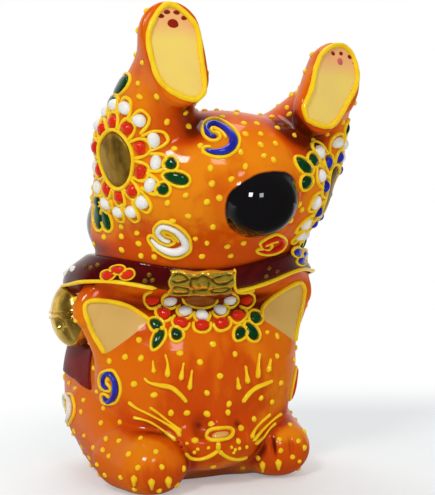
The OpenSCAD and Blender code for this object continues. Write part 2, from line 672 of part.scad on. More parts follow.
// A three-petalled flower on the collar; each petal is a drop of enamel.
module collar_flower(a, z, spread, length, width) {
    over = function(p) torso_form(p) - collar_t;
    middle = from_neck(over, a, z);
    n = slope(over, middle);
    u = across(n);
    v = cross(n, u);
    for (turn = [90 - spread, 90, 90 + spread])
        leaf(seat(over, middle + (u * cos(turn) + v * sin(turn)) * length * 0.55, n),
             turn + 90, length, width, 0.9);
}
module collar_flower_red() { color("red") collar_flower(-52, 51.6, 68, 3.2, 1.9); }
module collar_flower_blue() { color("blue") collar_flower(58, 55, 110, 2.6, 1.9); }
// Three claws of each forepaw, each a drop of gilding, from the middle of the paw.
claw_from_paw = [-0.8, -9.3, -2.6];
claw_gap = 3.4;
claw_back = 1.2;
module toe_drops() {
    color("gold") for (i = [0, 1], q = [-1:1])
        leaf(seat(function(p) foreleg_form(p, i),
                  paw[i] + claw_from_paw + [q * claw_gap, q * q * claw_back, 0],
                  unit([q * 0.45 - 0.1, -0.85, -0.3])), 0, 3.4, 1.5);
}

torso_shell();
head_shell();
ear_left();
ear_right();
foreleg_left();
foreleg_right();
hind_leg_left();
hind_leg_right();
tail_ball();
collar_band();
bib();
nape_plaque();
bell();
flank_discs();
flank_red_beads();
flank_blue_beads();
flank_outer_beads();
flank_petal_lines();
flank_leaves();
garland_white_beads();
garland_red_beads();
garland_line();
garland_leaves();
ear_rims();
sole_outlines();
face_lines();
spirals_white();
spirals_blue();
spirals_red();
collar_trim();
collar_flower_red();
collar_flower_blue();
toe_drops();
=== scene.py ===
"""Looks of the lucky cat figurine: glazed porcelain with raised enamel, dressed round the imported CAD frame.

Forms are written as signed distances in millimetres (below zero is inside the clay), so every bead,
line and leaf can be seated on the same curved skin. Meshes are handed to Blender in metres.
"""

import math

import bpy
import numpy as np
import openvdb
from mathutils import Matrix


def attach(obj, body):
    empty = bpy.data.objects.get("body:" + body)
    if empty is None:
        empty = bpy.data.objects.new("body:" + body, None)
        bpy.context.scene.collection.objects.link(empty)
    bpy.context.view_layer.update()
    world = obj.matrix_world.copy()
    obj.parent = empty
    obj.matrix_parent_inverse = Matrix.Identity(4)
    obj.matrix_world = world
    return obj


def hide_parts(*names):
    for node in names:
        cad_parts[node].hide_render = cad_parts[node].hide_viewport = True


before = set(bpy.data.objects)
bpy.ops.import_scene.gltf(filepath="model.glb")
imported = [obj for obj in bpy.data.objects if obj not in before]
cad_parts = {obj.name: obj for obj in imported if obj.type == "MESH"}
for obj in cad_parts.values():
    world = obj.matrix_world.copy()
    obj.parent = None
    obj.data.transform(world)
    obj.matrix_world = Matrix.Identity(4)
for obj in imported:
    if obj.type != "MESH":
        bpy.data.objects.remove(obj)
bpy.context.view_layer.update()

MM = 0.001
SEED = 11
rng = np.random.default_rng(SEED)

# ------------------------------------------------------------------ forms, in mm
MELT = 1.5
CHEST = ((0, 4, 23), (29, 26.2, 33), 0)
SHOULDERS = ((0, -7.8, 50.8), (32.3, 23.6, 9.2), -8)
LOIN = ((0, -12.5, 63.5), (28.4, 23.5, 14), 16)
RUMP = ((0, -21.8, 73), (29.8, 27.5, 18.6), -6)
SKULL = ((0, -12, 27.5), (27, 17.6, 21), 0)
MUZZLE = ((-2, -21.5, 11), (13.5, 9.8, 7.2), 0)
CHEEKS = (((-13, -13.7, 14.5), (11.4, 10.9, 14.8), 0), ((11.6, -13.7, 14.5), (11.4, 10.9, 14.8), 0))
NOSE = ((-2.8, -27.7, 12.4), (3.8, 3.4, 2.6), 0)
BROW_RIDGE = ((-2.4, -25.4, 17.6), (2.6, 3.4, 5.2), 0)
EYE_PITS = (((-7.6, -29.9, 15.4), (1.9, 2.2, 2.1), 0), ((1.9, -31.7, 14.9), (1.9, 2.2, 2.1), 0))
EAR_ROOT = ((-18.2, -13.4, 36.2), (16.6, -15.5, 36.4))
EAR_TIP = ((-29.3, -15.4, 43.7), (27.5, -17.2, 46.9))
EAR_ROOT_R, EAR_TIP_R, EAR_FLATNESS = (11.6, 10.4), (5.2, 4.4), 1.4
EAR_FACE = (((-22.5, -21.6, 39), (-0.3, -1, 0.16)), ((22, -21.5, 40), (0.3, -1, 0.16)))
SHOULDER_JOINT = ((-17.5, -2, 16.5), (21.5, 4, 12.5))
WRIST = ((-21.3, -15.4, 8.6), (20, -13.5, 8))
PAW = ((-18.6, -23.2, 7), (17.3, -20.5, 7.2))
PAW_R = (8.9, 9.2, 7.4)
FORELEG_R, WRIST_R = (13.4, 12.6), 8.3
TOE_GROOVES = ((), ((12.6, 10.4, 6.4), (17.2, 10.6, 6.4)))  # x, top and foot of each, on either paw
GROOVE_R = 0.42
HIP = ((-20.5, -27.6, 83), (20.5, -30, 84))
ANKLE = ((-20.7, -40.5, 100), (23, -39, 94.5))
HEEL = ((-19.1, -45.4, 95.3), (16.2, -45.9, 90.4))
TOE = ((-21.7, -45.2, 105), (22.5, -44.4, 99.4))
HIP_R, ANKLE_R, HEEL_R, FOOT_R = 11.6, 6.4, (6.2, 6.1), (7.0, 7.5)
SOLE_AT = ((-21, -46.1, 98), (21, -45.5, 98))
SOLE_FACING = ((-0.1, -1, 0), (0.2, -1, 0.03))
TAIL = ((-0.4, -47, 67.6), (8.5, 7, 7.1))
TAIL_LEAN = -20
VENT_AT, VENT_R, VENT_DEPTH, VENT_REACH = (0, 12), 1.75, 6, 9
FOOT_EDGE = 0.35  # how softly the body meets the floor
CLEFT = 0.6  # how softly the forelegs meet the cheeks and the chest
FRONT = 60.0  # well in front of the figurine
MARCH_BACK, MARCH_AHEAD, MARCH_SHARE = 4, 25, 0.8  # the longest steps of a march, and its share of each gap


def unit(v):
    v = np.asarray(v, float)
    return v / np.maximum(np.linalg.norm(v, axis=-1, keepdims=True), 1e-12)


def blob(p, c, r, lean=0):
    q = p - np.array(c, float)
    if lean:
        co, si = math.cos(math.radians(lean)), math.sin(math.radians(lean))
        q = np.stack([q[..., 0], q[..., 1] * co + q[..., 2] * si, q[..., 2] * co - q[..., 1] * si], -1)
    r = np.array(r, float)
    a = np.sqrt(((q / r) ** 2).sum(-1))
    b = np.sqrt(((q / (r * r)) ** 2).sum(-1))
    return a * (a - 1) / np.maximum(b, 1e-9)


def limb(p, a, b, ra, rb):
    a, b = np.array(a, float), np.array(b, float)
    d = b - a
    t = np.clip((p - a) @ d / (d @ d), 0, 1)
    return np.sqrt(((p - a - t[..., None] * d) ** 2).sum(-1)) - ra - (rb - ra) * t


def melted(*fields, k=MELT):
    low = np.minimum.reduce(fields)
    total = np.zeros_like(low)
    for f in fields:
        total += np.exp((low - f) / k)
    return low - k * np.log(total)


def carved(a, b, k=0.5):
    """a with everything outside b taken off, over a rounded edge of about k."""
    return -melted(-a, -b, k=k)


def outward(field, p, e=0.12):
    p = np.asarray(p, float)
    g = [field(p + np.eye(3)[k] * e) - field(p - np.eye(3)[k] * e) for k in range(3)]
    return unit(np.stack(g, -1))


def land(field, start, way, steps=34):
    """Marches from start along way until it meets the form; returns the place and the outward direction."""
    start, way = np.atleast_2d(np.asarray(start, float)), unit(np.atleast_2d(way))
    t = np.zeros(len(start))
    best, best_t = np.full(len(start), 1e9), t.copy()
    for _ in range(steps):
        gap = field(start + way * t[:, None])
        nearer = np.abs(gap) < best
        best[nearer], best_t[nearer] = np.abs(gap)[nearer], t[nearer]
        t = t + np.clip(gap, -MARCH_BACK, MARCH_AHEAD) * MARCH_SHARE
    q = start + way * best_t[:, None]
    for _ in range(3):
        q = q - outward(field, q) * field(q)[:, None]
    return q, outward(field, q)


def torso_form(p):
    return melted(blob(p, *CHEST), blob(p, *SHOULDERS), blob(p, *LOIN), blob(p, *RUMP))


def head_form(p):
    face = melted(blob(p, *SKULL), blob(p, *MUZZLE), blob(p, *CHEEKS[0]), blob(p, *CHEEKS[1]))
    face = melted(face, blob(p, *NOSE), blob(p, *BROW_RIDGE), k=1.0)
    for pit in EYE_PITS:
        face = carved(face, -blob(p, *pit), k=0.9)
    return face


def ear_form(p, i):
    a, b = EAR_ROOT[i], EAR_TIP[i]
    y = a[1] + (b[1] - a[1]) * np.clip((p[..., 2] - a[2]) / (b[2] - a[2]), 0, 1)
    flat = np.stack([p[..., 0], y + (p[..., 1] - y) * EAR_FLATNESS, p[..., 2]], -1)
    at, facing = EAR_FACE[i]
    return carved(limb(flat, a, b, EAR_ROOT_R[i], EAR_TIP_R[i]), (p - np.array(at)) @ unit(facing), k=0.7)


def smooth_foreleg(p, i):
    return melted(limb(p, SHOULDER_JOINT[i], WRIST[i], FORELEG_R[i], WRIST_R), blob(p, PAW[i], PAW_R))


def groove_ends(i):
    """Both ends of each groove between the toes, found on the front of the paw."""
    for x, high, low in TOE_GROOVES[i]:
        start = np.array([(x, -FRONT, high), (x, -FRONT, low)])
        seat, n = land(lambda p: smooth_foreleg(p, i), start, np.array([(0, 1.0, 0)] * 2))
        yield seat + n * 0.2


def foreleg_form(p, i):
    paw = smooth_foreleg(p, i)
    for high, low in GROOVES[i]:
        paw = carved(paw, -limb(p, high, low, GROOVE_R, GROOVE_R), k=0.45)
    return paw


def foot_form(p, i):
    return melted(limb(p, HIP[i], ANKLE[i], HIP_R, ANKLE_R), limb(p, HEEL[i], TOE[i], HEEL_R[i], FOOT_R[i]))


def hind_leg_form(p, i):
    return carved(foot_form(p, i), (p - np.array(SOLE_AT[i])) @ unit(SOLE_FACING[i]))


def tail_form(p, swell=0.0):
    q = p - np.array(TAIL[0], float)
    co, si = math.cos(math.radians(TAIL_LEAN)), math.sin(math.radians(TAIL_LEAN))
    q = np.stack([q[..., 0] * co - q[..., 2] * si, q[..., 1], q[..., 0] * si + q[..., 2] * co], -1)
    return blob(q, (0, 0, 0), np.array(TAIL[1]) + swell)


GROOVES = [list(groove_ends(i)) for i in (0, 1)]
FORMS = {
    "torso": torso_form,
    "head": head_form,
    "ear_left": lambda p: ear_form(p, 0),
    "ear_right": lambda p: ear_form(p, 1),
    "foreleg_left": lambda p: foreleg_form(p, 0),
    "foreleg_right": lambda p: foreleg_form(p, 1),
    "hind_leg_left": lambda p: hind_leg_form(p, 0),
    "hind_leg_right": lambda p: hind_leg_form(p, 1),
    "tail_ball": tail_form,
}


def skin(p):
    """The whole glazed body, standing flat on the floor."""
    p = np.asarray(p, float)
    vent = VENT_R - np.hypot(p[..., 0] - VENT_AT[0], p[..., 1] - VENT_AT[1])
    vent = np.maximum(vent, -VENT_REACH)
    upper = melted(*[form(p) for name, form in FORMS.items() if not name.startswith("foreleg")])
    body = melted(upper, foreleg_form(p, 0), foreleg_form(p, 1), k=CLEFT)
    body = carved(body, -p[..., 2], k=FOOT_EDGE)
    return np.maximum(body, np.minimum(vent, VENT_DEPTH - p[..., 2]))


# ------------------------------------------------------------------ camera at the photograph's angle
VIEW_W, VIEW_H = 435, 495
CAM_AZIMUTH, CAM_DISTANCE, CAM_HEIGHT = -27.5, 261.5, 53.7
CAM_AIM = (5.24, -14)
CAM_FOCAL_PX, CAM_PITCH, CAM_ROLL = 1014.7, -1.05, -0.94
SENSOR = 36.0
PX = 3.88  # picture units per mm at the figurine
SIGHT_START = 170  # mm from the camera, short of the figurine


def camera_axes():
    a, pt, rl = (math.radians(v) for v in (CAM_AZIMUTH, CAM_PITCH, CAM_ROLL))
    right = np.array([math.cos(a), math.sin(a), 0])
    ahead = np.array([-math.sin(a), math.cos(a), 0])
    up = np.array([0, 0, 1.0])
    at = np.array([*CAM_AIM, CAM_HEIGHT]) - CAM_DISTANCE * ahead
    look = ahead * math.cos(pt) - up * math.sin(pt)
    up = up * math.cos(pt) + ahead * math.sin(pt)
    return at, look, right * math.cos(rl) + up * math.sin(rl), -right * math.sin(rl) + up * math.cos(rl)


CAM_AT, CAM_LOOK, CAM_X, CAM_Y = camera_axes()


def seen_on(field, *pixels):
    """Where the sight lines through these places of the 435 x 495 picture meet a form."""
    px = np.array(pixels, float)
    way = unit(CAM_LOOK + ((px[:, :1] - VIEW_W / 2) / CAM_FOCAL_PX) * CAM_X
               - ((px[:, 1:] - VIEW_H / 2) / CAM_FOCAL_PX) * CAM_Y)
    return land(field, CAM_AT + way * SIGHT_START, way)


def in_picture(p):
    """The place of each point in the 435 x 495 picture."""
    q = p - CAM_AT
    deep = q @ CAM_LOOK
    return VIEW_W / 2 + CAM_FOCAL_PX * (q @ CAM_X) / deep, VIEW_H / 2 - CAM_FOCAL_PX * (q @ CAM_Y) / deep


def axes_at(x, y, z, at):
    """The matrix of an object with these axes at this place, in metres."""
    m = Matrix.Identity(4)
    for row in range(3):
        m[row][0], m[row][1], m[row][2], m[row][3] = x[row], y[row], z[row], at[row]
    return m


def make_camera():
    data = bpy.data.cameras.new("photo_view")
    data.sensor_fit = "HORIZONTAL"
    data.sensor_width = SENSOR
    data.lens = CAM_FOCAL_PX / VIEW_W * SENSOR
    data.clip_start = 0.01
    cam = bpy.data.objects.new("photo_view", data)
    bpy.context.scene.collection.objects.link(cam)
    cam.matrix_world = axes_at(CAM_X, CAM_Y, -CAM_LOOK, CAM_AT * MM)
    bpy.context.scene.camera = cam


make_camera()

# ------------------------------------------------------------------ materials
def srgb(*channels):
    """A colour given as on a screen, 0 to 255, as the renderer wants it."""
    linear = [((c / 255 + 0.055) / 1.055) ** 2.4 if c > 10 else c / 255 / 12.92 for c in channels]
    return (*linear, 1.0)


class Nodes:
    """A little shorthand for building a node tree."""

    def __init__(self, name):
        self.mat = bpy.data.materials.new(name)
        self.mat.use_nodes = True
        self.tree = self.mat.node_tree
        self.shader = self.tree.nodes["Principled BSDF"]
        self.place = self.tree.nodes.new("ShaderNodeTexCoord").outputs["Object"]

    def put(self, socket, value):
        if isinstance(value, bpy.types.NodeSocket):
            self.tree.links.new(value, socket)
        else:
            socket.default_value = value

    def add(self, kind, **values):
        node = self.tree.nodes.new(kind)
        for key, value in values.items():
            if key[0].isupper():
                self.put(node.inputs[key.replace("_", " ")], value)
            else:
                setattr(node, key, value)
        return node

    def noise(self, scale, detail=3.0, rough=0.5):
        node = self.add("ShaderNodeTexNoise", Vector=self.place, Scale=scale, Detail=detail, Roughness=rough)
        return node.outputs["Fac"]

    def streaks(self, scale):
        """Noise drawn out along one axis: a scale for each of x, y and z."""
        stretched = self.add("ShaderNodeMapping", Vector=self.place, Scale=scale).outputs[0]
        return self.add("ShaderNodeTexNoise", Vector=stretched, Scale=1.0, Detail=3.0).outputs["Fac"]

    def math(self, op, a, b=0.0, c=0.0):
        node = self.add("ShaderNodeMath", operation=op)
        for socket, value in zip(node.inputs, (a, b, c)):
            self.put(socket, value)
        return node.outputs[0]

    def swing(self, noise, amount):
        """A noise as a push to either side of 0."""
        return self.math("MULTIPLY", self.math("SUBTRACT", noise, 0.5), amount)

    def ramp(self, value, low, high, to_low=0.0, to_high=1.0):
        node = self.add("ShaderNodeMapRange", interpolation_type="SMOOTHSTEP")
        ends = {"Value": value, "From Min": low, "From Max": high, "To Min": to_low, "To Max": to_high}
        for key, end in ends.items():
            self.put(node.inputs[key], end)
        return node.outputs["Result"]

    def mix(self, fac, a, b):
        node = self.add("ShaderNodeMix", data_type="RGBA")
        self.put(node.inputs["Factor"], fac)
        self.put(node.inputs["A"], a)
        self.put(node.inputs["B"], b)
        return node.outputs["Result"]

    def attribute(self, name):
        return self.add("ShaderNodeAttribute", attribute_name=name).outputs["Fac"]

    def bump(self, height, strength, distance):
        node = self.add("ShaderNodeBump", Height=height, Strength=strength, Distance=distance)
        self.put(self.shader.inputs["Normal"], node.outputs["Normal"])

    def set(self, **values):
        for key, value in values.items():
            self.put(self.shader.inputs[key.replace("_", " ")], value)
        return self.mat


ORANGE, ORANGE_LIGHT = srgb(221, 102, 9), srgb(234, 134, 16)
# the deep colour darkens the hollows: glaze pooled thickest there, and painted shade
ORANGE_RED, ORANGE_POOL_SHADE = srgb(204, 70, 6), srgb(104, 28, 4)
MAROON, MAROON_WARM = srgb(72, 4, 6), srgb(112, 16, 10)
BLACK_GLAZE = srgb(14, 12, 14)
CREAM_EAR, CREAM_SOLE = srgb(214, 172, 94), srgb(244, 212, 106)
CREAM_DARK, BLUSH = srgb(232, 186, 120), srgb(240, 150, 120)
YELLOW, YELLOW_DEEP = srgb(252, 210, 36), srgb(236, 168, 16)
GOLD, GOLD_WORN = srgb(240, 202, 92), srgb(176, 128, 36)
MATT_GOLD, MATT_GOLD_WORN = srgb(172, 132, 40), srgb(110, 78, 16)
# bright gold on the ridges as a painted highlight, dark olive in the hollows as painted shade
COIN_HIGHLIGHT, COIN_SHADE = srgb(255, 222, 76), srgb(112, 86, 14)


def glaze_material(name):
    """Orange glaze, pooled dark in the creases and darkened there as painted shade, redder in areas that are
    partly painted shade, with the painted black and cream areas cut in sharply.
    """
    n = Nodes(name)
    pool_and_shade = n.attribute("pool_and_shade")
    mottle = n.noise(90.0, 4.0)
    cloud = n.noise(28.0, 2.0)
    brush = n.noise(420.0, 3.0, 0.6)
    base = n.mix(n.ramp(cloud, 0.38, 0.66), ORANGE, ORANGE_LIGHT)
    base = n.mix(n.ramp(mottle, 0.5, 0.72, 0.0, 0.55), base, ORANGE_RED)
    uneven = n.math("ADD", mottle, n.streaks((420, 420, 110)))
    uneven = n.math("MULTIPLY", n.math("SUBTRACT", uneven, 1.0), 1.45)
    # redder in the listed areas: partly thick red glaze, partly painted shade
    base = n.mix(n.ramp(n.math("ADD", n.attribute("red_and_shade"), uneven), 0.1, 0.9, 0.0, 0.85), base, ORANGE_RED)
    # darker in the hollows: partly glaze pooled there, partly painted shade
    pooled_and_shaded = n.ramp(n.math("ADD", pool_and_shade, n.swing(mottle, 0.35)), 0.04, 0.4)
    base = n.mix(pooled_and_shaded, base, ORANGE_RED)
    deep = n.ramp(n.math("ADD", pool_and_shade, n.swing(brush, 0.2)), 0.24, 0.75)
    base = n.mix(deep, base, ORANGE_POOL_SHADE)
    soft = n.swing(brush, 0.5)
    black = n.ramp(n.math("ADD", n.attribute("black"), soft), -0.35, 0.35, 1.0, 0.0)
    base = n.mix(black, base, BLACK_GLAZE)
    cream_edge = n.math("ADD", n.attribute("cream"), n.math("MULTIPLY", soft, 0.4))
    cream = n.ramp(cream_edge, -0.12, 0.12, 1.0, 0.0)
    sole = n.math("GREATER_THAN", n.attribute("sole"), 0.5)
    pale = n.mix(sole, CREAM_EAR, CREAM_SOLE)
    pale = n.mix(n.ramp(mottle, 0.35, 0.75, 0.0, 0.35), pale, CREAM_DARK)
    blush = n.ramp(n.attribute("blush"), 0.1, 1.0, 0.0, 0.6)
    pale = n.mix(blush, pale, BLUSH)
    base = n.mix(cream, base, pale)
    n.bump(n.math("ADD", n.noise(160.0, 2.0), n.math("MULTIPLY", brush, 0.25)), 0.16, 0.0006)
    coat, coat_rough = n.ramp(black, 0.0, 1.0, 0.5, 0.9), n.ramp(black, 0.0, 1.0, 0.09, 0.03)
    return n.set(Base_Color=base, Roughness=0.5, Specular_IOR_Level=0.0, Coat_Weight=coat,
                 Coat_Roughness=coat_rough)


def paint_material(name, colour, dark, roughness=0.18, coat=1.0, speck=0.35):
    """Glossy raised enamel: pools a little darker here and there, with a faint orange-peel skin."""
    n = Nodes(name)
    tone = n.noise(260.0, 3.0, 0.6)
    base = n.mix(n.ramp(tone, 0.4, 0.72, 0.0, speck), colour, dark)
    n.bump(n.noise(520.0, 2.0), 0.12, 0.0003)
    return n.set(Base_Color=base, Roughness=roughness, Coat_Weight=coat, Coat_Roughness=0.03,
                 Specular_IOR_Level=0.0)


def gilding_material(name, matt):
    """Gilding: matt liquid gold on the discs, bright on the bell, rubbed thin in places."""
    n = Nodes(name)
    rub = n.noise(150.0, 4.0, 0.6)
    grain = n.streaks((600, 600, 90))
    bright, worn = (MATT_GOLD, MATT_GOLD_WORN) if matt else (GOLD, GOLD_WORN)
    wear = n.math("ADD", n.math("MULTIPLY", rub, 0.6), n.math("MULTIPLY", grain, 0.4))
    n.bump(wear, 0.25 if matt else 0.1, 0.0004)
    base = n.mix(n.ramp(wear, 0.4, 0.62), bright, worn)
    return n.set(Base_Color=base, Metallic=0.6 if matt else 0.85, Roughness=0.42 if matt else 0.16)


def coin_material(name):
    """Gold on the plaque painted bright on the ridges as a highlight and dark olive in the hollows as shade;
    the hollows are also less metallic and rougher.
    """
    n = Nodes(name)
    rub = n.noise(260.0, 4.0, 0.6)
    sharpness = n.add("ShaderNodeNewGeometry").outputs["Pointiness"]
    # pointiness picks out the ridges for the painted highlight and the hollows for the painted shade
    lit_ridge = n.ramp(n.math("ADD", sharpness, n.swing(rub, 0.06)), 0.48, 0.522)
    n.bump(rub, 0.12, 0.0004)
    metallic, rough = n.ramp(lit_ridge, 0.0, 1.0, 0.5, 0.75), n.ramp(lit_ridge, 0.0, 1.0, 0.3, 0.2)
    return n.set(Base_Color=n.mix(lit_ridge, COIN_SHADE, COIN_HIGHLIGHT), Metallic=metallic, Roughness=rough)


GLAZE = glaze_material("orange_glaze")
MATERIALS = {
    "yellow": paint_material("yellow_enamel", YELLOW, YELLOW_DEEP, 0.3, 0.6),
    "red": paint_material("red_enamel", srgb(222, 44, 20), srgb(150, 16, 8)),
    "blue": paint_material("blue_enamel", srgb(38, 48, 176), srgb(12, 14, 92), speck=0.6),
    "white": paint_material("white_enamel", srgb(240, 238, 232), srgb(214, 208, 198), 0.22, 0.7),
    "green": paint_material("green_enamel", srgb(4, 66, 28), srgb(2, 30, 12), speck=0.7),
    "tan": paint_material("nose_enamel", srgb(222, 164, 84), srgb(196, 128, 60), 0.25, 0.6),
    "brown": paint_material("brown_enamel", srgb(150, 78, 26), srgb(96, 44, 12)),
    "maroon": paint_material("maroon_glaze", MAROON, MAROON_WARM, 0.2, 0.8, 0.35),
    "bib": paint_material("bib_glaze", srgb(118, 26, 22), srgb(78, 10, 10), 0.3, 0.3, 0.6),
    "sepia": paint_material("toe_pad_paint", srgb(146, 34, 18), srgb(104, 18, 10), 0.35, 0.3),
    "pink": paint_material("pink_pad_paint", srgb(214, 112, 106), srgb(190, 60, 60), 0.35, 0.3, 0.8),
    "matt_gold": gilding_material("matt_gilding", True),
    "gold": gilding_material("bright_gilding", False),
    "coin_gold": coin_material("coin_gilding"),
}

# ------------------------------------------------------------------ pieces
def piece(name, points, faces, material, slot, replaces=(), attributes=None, normals=None):
    """A mesh in mm becomes an object in metres that rides on the one body."""
    mesh = bpy.data.meshes.new(name)
    mesh.from_pydata((np.asarray(points) * MM).tolist(), [], [list(map(int, f)) for f in faces])
    mesh.validate()
    mesh.update()
    for key, values in (attributes or {}).items():
        layer = mesh.attributes.new(key, "FLOAT", "POINT")
        layer.data.foreach_set("value", np.asarray(values, np.float32))
    mesh.shade_smooth()
    if normals is not None:
        mesh.normals_split_custom_set_from_vertices([tuple(v) for v in np.asarray(normals, float)])
    mesh.materials.append(material)
    obj = bpy.data.objects.new(name, mesh)
    bpy.context.scene.collection.objects.link(obj)
    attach(obj, "root")
    if replaces:
        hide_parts(*replaces)


COARSE = 3  # the field is first felt for on every third point
FIELD_LIMIT = 3  # mm beyond which its value says nothing more
SPACING = 0.45  # mm between the points of a path


def skin_mesh(field, low, high, step, polish=2):
    """Quads on the zero surface of a field, polished onto it by a few Newton steps."""
    low, high = np.array(low, float), np.array(high, float)
    count = np.ceil((high - low) / step / COARSE).astype(int) * COARSE + 1
    axes = [low[k] + step * np.arange(count[k]) for k in range(3)]
    rough = field(np.stack(np.meshgrid(*[a[::COARSE] for a in axes], indexing="ij"), -1))
    near = [np.rint(np.arange(c) / COARSE).astype(int) for c in count]
    grid = np.empty(count, np.float32)
    for i in range(count[0]):
        guess = rough[near[0][i]][np.ix_(near[1], near[2])]
        band = np.abs(guess) < step * COARSE * 1.5
        y, z = np.nonzero(band)
        grid[i] = np.where(guess > 0, FIELD_LIMIT, -FIELD_LIMIT)
        grid[i][band] = field(np.stack([np.full(len(y), axes[0][i]), axes[1][y], axes[2][z]], -1))
    volume = openvdb.FloatGrid(float(FIELD_LIMIT))
    volume.copyFromArray(np.clip(grid, -FIELD_LIMIT, FIELD_LIMIT))
    points, quads = volume.convertToQuads(0.0)
    points = points.astype(float) * step + low
    first = points[quads[:, :3]]
    facing = np.cross(first[:, 1] - first[:, 0], first[:, 2] - first[:, 0])
    if (facing * outward(field, first[:, 0])).sum() < 0:
        quads = quads[:, ::-1]
    for _ in range(polish):
        n = outward(field, points, 0.1)
        points -= n * np.clip(field(points), -0.3, 0.3)[:, None]
    return points, quads


def smooth_path(corners, closed=False, spacing=SPACING):
    """A round curve through a few points, cut into even short steps."""
    c = np.array(corners, float)
    if len(c) == 2:
        dense = c[0] + (c[1] - c[0]) * np.linspace(0, 1, 40)[:, None]
    else:
        before, after = ([c[-1]], [c[0], c[1]]) if closed else ([2 * c[0] - c[1]], [2 * c[-1] - c[-2]])
        ext = np.vstack([*before, c, *after])
        t = np.linspace(0, 1, 16, endpoint=False)[:, None]
        runs = []
        for a, b, d, e in zip(ext, ext[1:], ext[2:], ext[3:]):
            square, cube = 2 * a - 5 * b + 4 * d - e, 3 * b - a - 3 * d + e
            runs.append(0.5 * (2 * b + (d - a) * t + square * t ** 2 + cube * t ** 3))
        dense = np.vstack(runs + ([] if closed else [c[-1:]]))
    loop = np.vstack([dense, dense[:1]]) if closed else dense
    run = np.concatenate([[0], np.cumsum(np.linalg.norm(np.diff(loop, axis=0), axis=1))])
    count = max(int(run[-1] / spacing), 4)
    at = np.linspace(0, run[-1], count, endpoint=not closed)
    return np.stack([np.interp(at, run, loop[:, k]) for k in range(loop.shape[1])], -1)


def widths_along(path, widths):
    """A few widths spread evenly over a path, one for each of its points."""
    return np.interp(np.linspace(0, 1, len(path)), np.linspace(0, 1, len(widths)), widths)


def closed_loops(faces):
    """The rims of an open patch of faces, as loops of vertex numbers."""
    sides = {}
    for f in faces:
        for a, b in zip(f, np.roll(f, -1)):
            sides[(int(a), int(b))] = True
    after = {}
    for a, b in sides:
        if (b, a) not in sides:
            after.setdefault(b, []).append(a)
    loops = []
    while after:
        start = next(iter(after))
        loop, at = [start], start
        while True:
            nxt = after[at].pop()
            if not after[at]:
                del after[at]
            if nxt == start:
                break
            loop.append(nxt)
            at = nxt
            if at not in after:
                break
        loops.append(loop)
    return loops


# ---- the body: one melted skin, shared out to its forms with rims that meet exactly
STEP = 0.55
BODY_BOX = ((-38, -53, -3), (36, 34, 116))
points, quads = skin_mesh(skin, *BODY_BOX, STEP)
normal = outward(skin, points)
distance = np.stack([form(points) for form in FORMS.values()])
owner = distance.argmin(0)

CREASE_FEELERS = ((2.5, 0.55), (7.0, 0.75))  # how far out a hollow is felt for, and how much it counts


def crease_of(p, n):
    """How hollow the body is here: 0 on open curves, towards 1 in the clefts."""
    felt = [share * np.clip(1 - skin(p + n * reach) / reach, 0, 1) for reach, share in CREASE_FEELERS]
    return np.clip(felt[0] + felt[1], 0, 1)


def polygon_distance(u, v, corners):
    """Signed distance to a polygon in a plane, below zero inside."""
    corners = np.array(corners, float)
    best = np.full(u.shape, 1e9)
    inside = np.zeros(u.shape, bool)
    for (x0, y0), (x1, y1) in zip(corners, np.roll(corners, -1, 0)):
        ex, ey = x1 - x0, y1 - y0
        t = np.clip(((u - x0) * ex + (v - y0) * ey) / (ex * ex + ey * ey), 0, 1)
        best = np.minimum(best, np.hypot(u - x0 - ex * t, v - y0 - ey * t))
        cross = ((y0 > v) != (y1 > v)) & (u < (x1 - x0) * (v - y0) / np.where(y1 == y0, 1e-9, y1 - y0) + x0)
        inside ^= cross
    return np.where(inside, -best, best)


EAR_RIM = (  # across and up, where sight lines of the picture met each ear, and partly moved since
    ((-17.3, 40.9), (-18.9, 42.2), (-21.6, 44.1), (-25.0, 45.3), (-28.4, 45.9), (-30.9, 45.9),
     (-32.2, 45.0), (-32.3, 43.1), (-31.3, 40.4), (-30.0, 37.8), (-28.6, 35.5), (-27.3, 33.2)),
    ((11.9, 40.4), (13.9, 43.0), (17.0, 45.4), (20.4, 47.6), (23.6, 48.9), (26.4, 49.0), (28.1, 47.4),
     (27.6, 44.4), (26.1, 40.4), (24.9, 37.0), (24.0, 33.6)),
)

SOLE_OUTLINE = (  # across and up, on the flat of each sole
    ((-22.6, 111.0), (-27.0, 104.8), (-26.2, 97.9), (-24.0, 93.4), (-19.2, 90.7), (-15.2, 90.8),
     (-14.4, 93.3), (-15.1, 99.9), (-16.4, 106.9)),
    ((21.5, 105.9), (16.4, 102.4), (13.4, 94.8), (10.7, 89.5), (12.0, 87.2), (19.2, 86.4), (24.8, 92.2),
     (28.6, 98.6), (26.5, 105.2)),
)

SOLE_MARGIN = 0.55


def sole_ring(i):
    """The outline on the flat of a sole, drawn in where it would run off the edge of the foot."""
    at, n = np.array(SOLE_AT[i], float), unit(SOLE_FACING[i])
    path = smooth_path(SOLE_OUTLINE[i], True)
    p = np.stack([path[:, 0], 0 * path[:, 0], path[:, 1]], -1)

    def onto_plane(p):
        p[:, 1] = at[1] - (n[0] * (p[:, 0] - at[0]) + n[2] * (p[:, 2] - at[2])) / n[1]
        return p

    p = onto_plane(p)
    for _ in range(6):
        short = np.maximum(foot_form(p, i) + SOLE_MARGIN, 0)
        p = onto_plane(p - outward(lambda q: foot_form(q, i), p) * short[:, None])
    return p


SOLE_RINGS = [sole_ring(i) for i in (0, 1)]


def sole_distance(p, i):
    """Signed distance to the outline on the sole, and the distance off its plane."""
    off = np.abs((p - np.array(SOLE_AT[i])) @ unit(SOLE_FACING[i]))
    return polygon_distance(p[..., 0], p[..., 2], SOLE_RINGS[i][::3, ::2]), off


